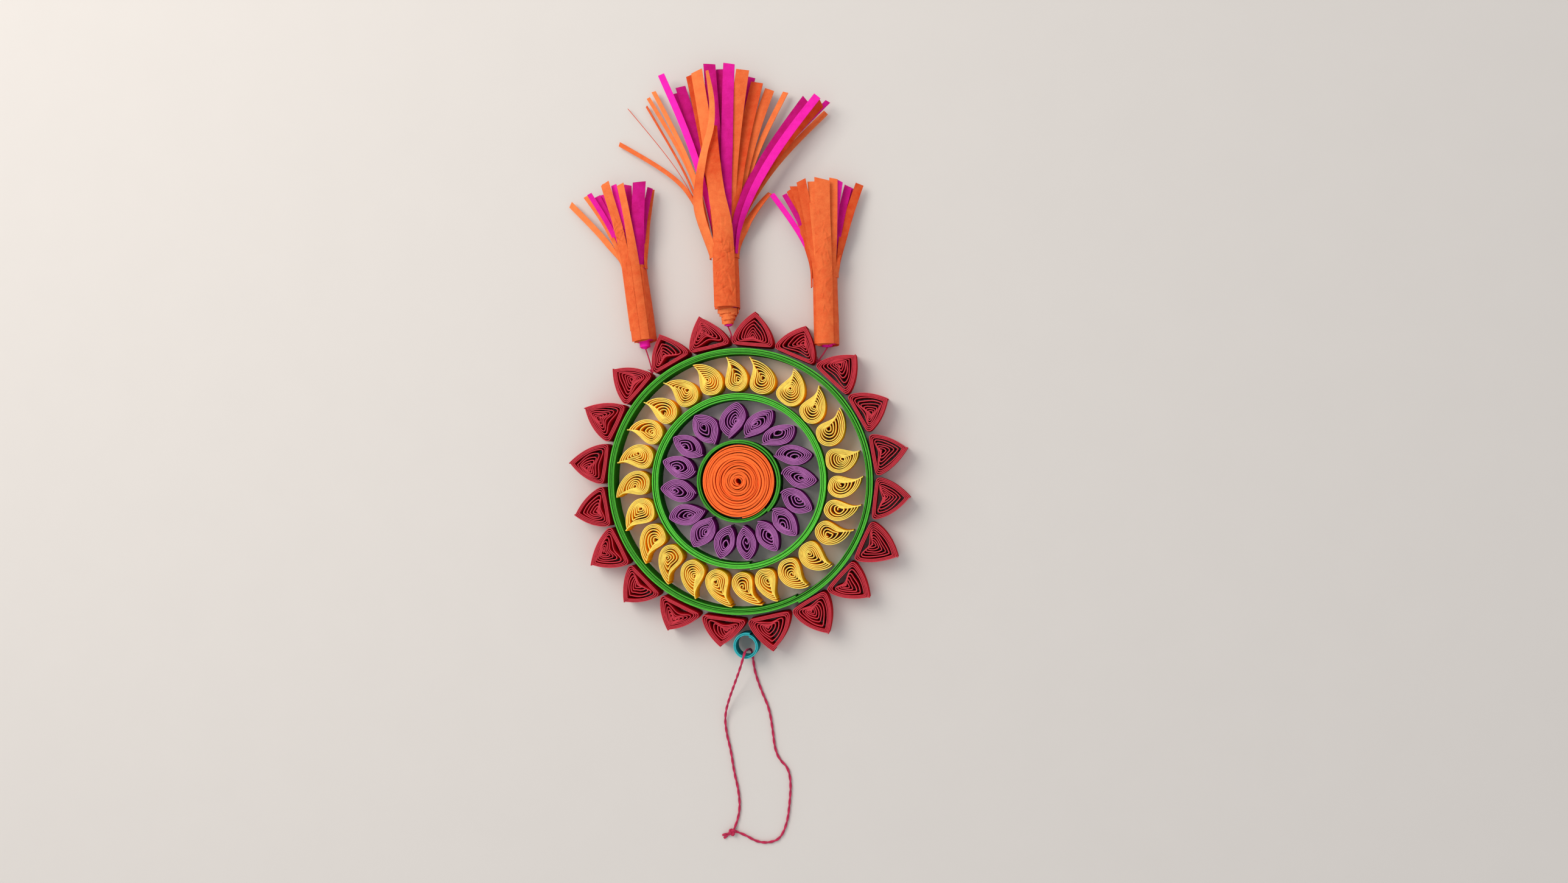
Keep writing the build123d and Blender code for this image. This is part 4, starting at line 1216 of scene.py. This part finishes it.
class QUILLING_OT_thread(bpy.types.Operator):
    """Twist the hanging thread along its route and tie its knot"""
    bl_idname = "quilling.thread"
    bl_label = "Hanging thread"

    def execute(self, context):
        paper = context.scene.quilling_paper
        line = bpy.data.curves.new("thread_route", "CURVE")
        line.dimensions = "3D"
        spline = line.splines.new("NURBS")
        spline.points.add(len(THREAD_ROUTE) - 1)
        spline.points.foreach_set("co", [value for place in THREAD_ROUTE for value in (*place, 1.0)])
        spline.order_u = 3
        spline.use_endpoint_u = True
        spline.resolution_u = 16
        carrier = bpy.data.objects.new("thread_route", line)
        route = bpy.data.meshes.new_from_object(carrier)
        places = mesh_places(route)
        bpy.data.objects.remove(carrier)
        bpy.data.meshes.remove(route)
        spun = spun_thread("spun_crimson_thread", context.scene.quilling_colours.thread)
        strands = twisted_thread(places, THREAD_DIAMETER, paper.twist_pitch)
        thread = put_piece("crimson_hanging_thread", strands, spun, "thread_crimson", "hanging_thread")
        surfaces = [knot_surface(KNOT_PLACE, KNOT_SIZE, KNOT_RADIUS)]
        share = np.linspace(0, 1, TAIL_STEPS)[:, None]
        drop = np.array([0, 0, THREAD_DIAMETER / 2 - KNOT_PLACE[2]])
        for spread in (-TAIL_SPREAD, TAIL_SPREAD):
            angle = math.radians(KNOT_AIM + spread)
            way = np.array([math.cos(angle), math.sin(angle), 0]) * TAIL_REACH
            tail = np.array(KNOT_PLACE) + way * share + drop * np.minimum(share * TAIL_FALL, 1)
            surfaces += twisted_thread(tail, THREAD_DIAMETER * TAIL_THINNESS, paper.twist_pitch)
        knot = put_piece("crimson_thread_knot", surfaces, spun, "thread_crimson", "thread_knot")
        return {"FINISHED"}


class QUILLING_OT_rings(bpy.types.Operator):
    """Wind the three green rings and the hanging ring"""
    bl_idname = "quilling.rings"
    bl_label = "Rings"

    def execute(self, context):
        paper = context.scene.quilling_paper
        colours = context.scene.quilling_colours
        rng = np.random.default_rng([paper.seed, RING_DRAWS])
        green = strip_paper("green_ring_paper", colours.green, colours.green_edge,
                            painted_highlight_start=0.94, tone_span=0.42, rough_edge=0.45)
        for name, radius, band, steps in (("outer_ring", OUTER_RADIUS, OUTER_BAND, OUTER_STEPS),
                                          ("middle_ring", MIDDLE_RADIUS, MIDDLE_BAND, MIDDLE_STEPS),
                                          ("inner_ring", INNER_RADIUS, INNER_BAND, INNER_STEPS)):
            pitches = uneven_pitches(band, paper.ring_pitch, GREEN_UNEVENNESS, rng)
            surface = ring_strip(0j, radius, pitches, steps, 0.0, STRIP_WIDTH, GREEN_LOOK, rng)
            put_piece("green_" + name, [surface], green, "paper_green", name)
        low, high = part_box("hanging_ring")
        centre = complex((low.x + high.x) / 2, (low.y + high.y) / 2)
        teal = strip_paper("teal_ring_paper", colours.teal, colours.teal_edge,
                           painted_highlight_start=0.93, rough_edge=0.4)
        pitch = HANGING_RING_BAND / HANGING_RING_LAYERS
        pitches = uneven_pitches(HANGING_RING_BAND, pitch, TEAL_UNEVENNESS, rng)
        surface = ring_strip(centre, (high.x - low.x) / 2, pitches, HANGING_RING_STEPS, low.z, high.z,
                             TEAL_LOOK, rng)
        put_piece("teal_hanging_ring", [surface], teal, "paper_teal", "hanging_ring")
        return {"FINISHED"}


class QUILLING_OT_coil(bpy.types.Operator):
    """Wind the tight orange coil"""
    bl_idname = "quilling.coil"
    bl_label = "Tight coil"

    def execute(self, context):
        paper = context.scene.quilling_paper
        colours = context.scene.quilling_colours
        rng = np.random.default_rng([paper.seed, COIL_DRAWS])
        radius = INNER_RADIUS - INNER_BAND - GLUE_GAP
        pitches = uneven_pitches(radius - COIL_HOLE, paper.coil_pitch, COIL_UNEVENNESS, rng)
        surface = ring_strip(0j, radius, pitches, COIL_STEPS, 0.0, STRIP_WIDTH, COIL_LOOK, rng)
        orange = strip_paper("orange_coil_paper", colours.orange, colours.orange_edge,
                             painted_highlight_start=0.94, tone_span=0.14, rough_edge=0.35)
        put_piece("orange_centre_coil", [surface], orange, "paper_orange", "centre_coil")
        return {"FINISHED"}


class QUILLING_OT_eyes(bpy.types.Operator):
    """Wind the purple eyes between the inner and the middle ring"""
    bl_idname = "quilling.eyes"
    bl_label = "Eyes"

    def execute(self, context):
        row = PetalRow(EYE_START, EYE_TURNS, EYE_LEANS, INNER_RADIUS + GLUE_GAP,
                       MIDDLE_RADIUS - MIDDLE_BAND - GLUE_GAP, lambda v: v - EYE_HEART)
        wind_petals("purple", "eye", row, eye_outline, EYE_HEART, EYE_WINDING)
        return {"FINISHED"}


class QUILLING_OT_teardrops(bpy.types.Operator):
    """Wind the yellow teardrops between the middle and the outer ring"""
    bl_idname = "quilling.teardrops"
    bl_label = "Teardrops"

    def execute(self, context):
        share, power = TEARDROP_SWAY
        row = PetalRow(TEARDROP_START, TEARDROP_TURNS, TEARDROP_LEANS, MIDDLE_RADIUS + GLUE_GAP,
                       OUTER_RADIUS - OUTER_BAND - GLUE_GAP, lambda v: share * v ** power)
        wind_petals("yellow", "teardrop", row, teardrop_outline, TEARDROP_HEART, TEARDROP_WINDING,
                    node="yellow_teardrops")
        return {"FINISHED"}


class QUILLING_OT_triangles(bpy.types.Operator):
    """Wind the crimson triangles round the outer ring"""
    bl_idname = "quilling.triangles"
    bl_label = "Triangles"

    def execute(self, context):
        base = (OUTER_RADIUS + GLUE_GAP) / math.cos(math.pi / len(TRIANGLE_TURNS))
        tips = base + TRIANGLE_HEIGHT + np.array(TRIANGLE_GROWTHS) * MM
        row = PetalRow(TRIANGLE_START, TRIANGLE_TURNS, TRIANGLE_LEANS, base, tips, lambda v: v)
        wind_petals("crimson", "triangle", row, triangle_outline, TRIANGLE_HEART, TRIANGLE_WINDING,
                    dents=TRIANGLE_DENTS)
        return {"FINISHED"}


class QUILLING_OT_tassels(bpy.types.Operator):
    """Roll the three tassels, cut their fringes and tie them on"""
    bl_idname = "quilling.tassels"
    bl_label = "Tassels"

    def execute(self, context):
        paper = context.scene.quilling_paper
        colours = context.scene.quilling_colours
        orange = sheet_paper("orange_tassel_paper", colours.sheet_orange, colours.sheet_deep_shade)
        magenta = sheet_paper("magenta_tassel_paper", colours.magenta, colours.magenta_deep_shade)
        spun = spun_thread("spun_tie_thread", colours.thread)
        thickness = paper.sheet_thickness
        for index, tassel in enumerate((LEFT_TASSEL, CENTRE_TASSEL, RIGHT_TASSEL)):
            name = tassel.name
            tube = Tube(tassel)
            rng = np.random.default_rng([paper.seed, TASSEL_DRAWS + index])
            sheet = tassel_sheet(tube, tassel, thickness, rng)
            put_piece(name + "_sheet", sheet, orange, "paper_orange", name + "_wrap")
            cone = CONE_REACH if tassel is CENTRE_TASSEL else 0.0
            roll = inner_roll(tube, tassel, cone, thickness, rng)
            put_piece(name + "_inner_roll", roll, magenta, "paper_magenta", name + "_core")
            if cone:
                put_piece(name + "_cone_turns", cone_turns(tube, rng), orange, "paper_orange", name + "_cone")
            tie = tie_thread(tube, name + "_tie")
            put_piece(name + "_thread", tie, spun, "thread_crimson", name + "_tie")
        return {"FINISHED"}


class QUILLING_OT_stage(bpy.types.Operator):
    """Set the camera, the table and the soft light"""
    bl_idname = "quilling.stage"
    bl_label = "Stage"

    def execute(self, context):
        scene = context.scene
        stage = scene.quilling_stage
        view = (Vector(CAMERA_AIM) - Vector(CAMERA_PLACE)).normalized()
        right = view.cross(Vector((0, 1, 0))).normalized()
        up = right.cross(view)
        camera = put_object("camera", bpy.data.cameras.new("camera"))
        turned = Matrix((right, up, -view)).transposed().to_4x4()
        camera.matrix_world = Matrix.Translation(CAMERA_PLACE) @ turned
        camera.data.lens = stage.lens
        camera.data.sensor_width = CAMERA_SENSOR
        camera.data.clip_start = CAMERA_NEAR
        scene.camera = camera
        steps = np.linspace(-TABLE_HALF, TABLE_HALF, TABLE_STEPS)
        x, y = np.meshgrid(steps, steps, indexing="ij")
        grid = np.stack([x, y, np.full_like(x, -TABLE_DROP - TABLE_THICKNESS / 2)], 2)
        surface = sheet_surface(grid, TABLE_THICKNESS, 0.0)
        mesh = bpy.data.meshes.new("table")
        mesh.from_pydata(surface.places, [], [face for faces in surface.faces for face in faces.tolist()])
        mesh.materials.append(table_top("pale_table", scene.quilling_colours.floor))
        table = put_object("table", mesh)
        lamp = bpy.data.lights.new("key", "AREA")
        lamp.energy = stage.key
        lamp.size = KEY_SIZE
        lamp.color = KEY_COLOUR
        key = put_object("key", lamp)
        key.location = KEY_PLACE
        key.rotation_euler = (-key.location).to_track_quat("-Z", "Y").to_euler()
        world = bpy.data.worlds.new("soft_room")
        world.use_nodes = True
        background = world.node_tree.nodes["Background"]
        background.inputs["Color"].default_value = ROOM_COLOUR
        background.inputs["Strength"].default_value = stage.fill
        scene.world = world
        scene.view_settings.view_transform = "Standard"
        return {"FINISHED"}


class QUILLING_PT_panel(bpy.types.Panel):
    """Lists the medallion's operators and settings"""
    bl_idname = "QUILLING_PT_panel"
    bl_label = "Quilled medallion"
    bl_space_type = "VIEW_3D"
    bl_region_type = "UI"
    bl_category = "Quilling"

    def draw(self, context):
        for operator in OPERATORS:
            self.layout.operator(operator.bl_idname)
        for settings in GROUPS:
            group = getattr(context.scene, settings)
            box = self.layout.box()
            for name in group.__annotations__:
                box.prop(group, name)


OPERATORS = (QUILLING_OT_stage, QUILLING_OT_thread, QUILLING_OT_rings, QUILLING_OT_coil, QUILLING_OT_eyes,
             QUILLING_OT_teardrops, QUILLING_OT_triangles, QUILLING_OT_tassels)
GROUPS = {
    "quilling_paper": QuillingPaper,
    "quilling_colours": QuillingColours,
    "quilling_stage": QuillingStage,
}


def register():
    """Add the settings, the operators and the panel to Blender."""
    for group in GROUPS.values():
        bpy.utils.register_class(group)
    for name, group in GROUPS.items():
        setattr(bpy.types.Scene, name, PointerProperty(type=group))
    for part in (*OPERATORS, QUILLING_PT_panel):
        bpy.utils.register_class(part)


def unregister():
    """Take the panel, the operators and the settings out again."""
    for part in (QUILLING_PT_panel, *reversed(OPERATORS)):
        bpy.utils.unregister_class(part)
    for name in GROUPS:
        delattr(bpy.types.Scene, name)
    for group in reversed(GROUPS.values()):
        bpy.utils.unregister_class(group)


def main():
    """Make every piece in order."""
    register()
    bpy.ops.quilling.stage()
    bpy.ops.quilling.thread()
    bpy.ops.quilling.rings()
    bpy.ops.quilling.coil()
    bpy.ops.quilling.eyes()
    bpy.ops.quilling.teardrops()
    bpy.ops.quilling.triangles()
    bpy.ops.quilling.tassels()


if __name__ == "__main__":
    main()
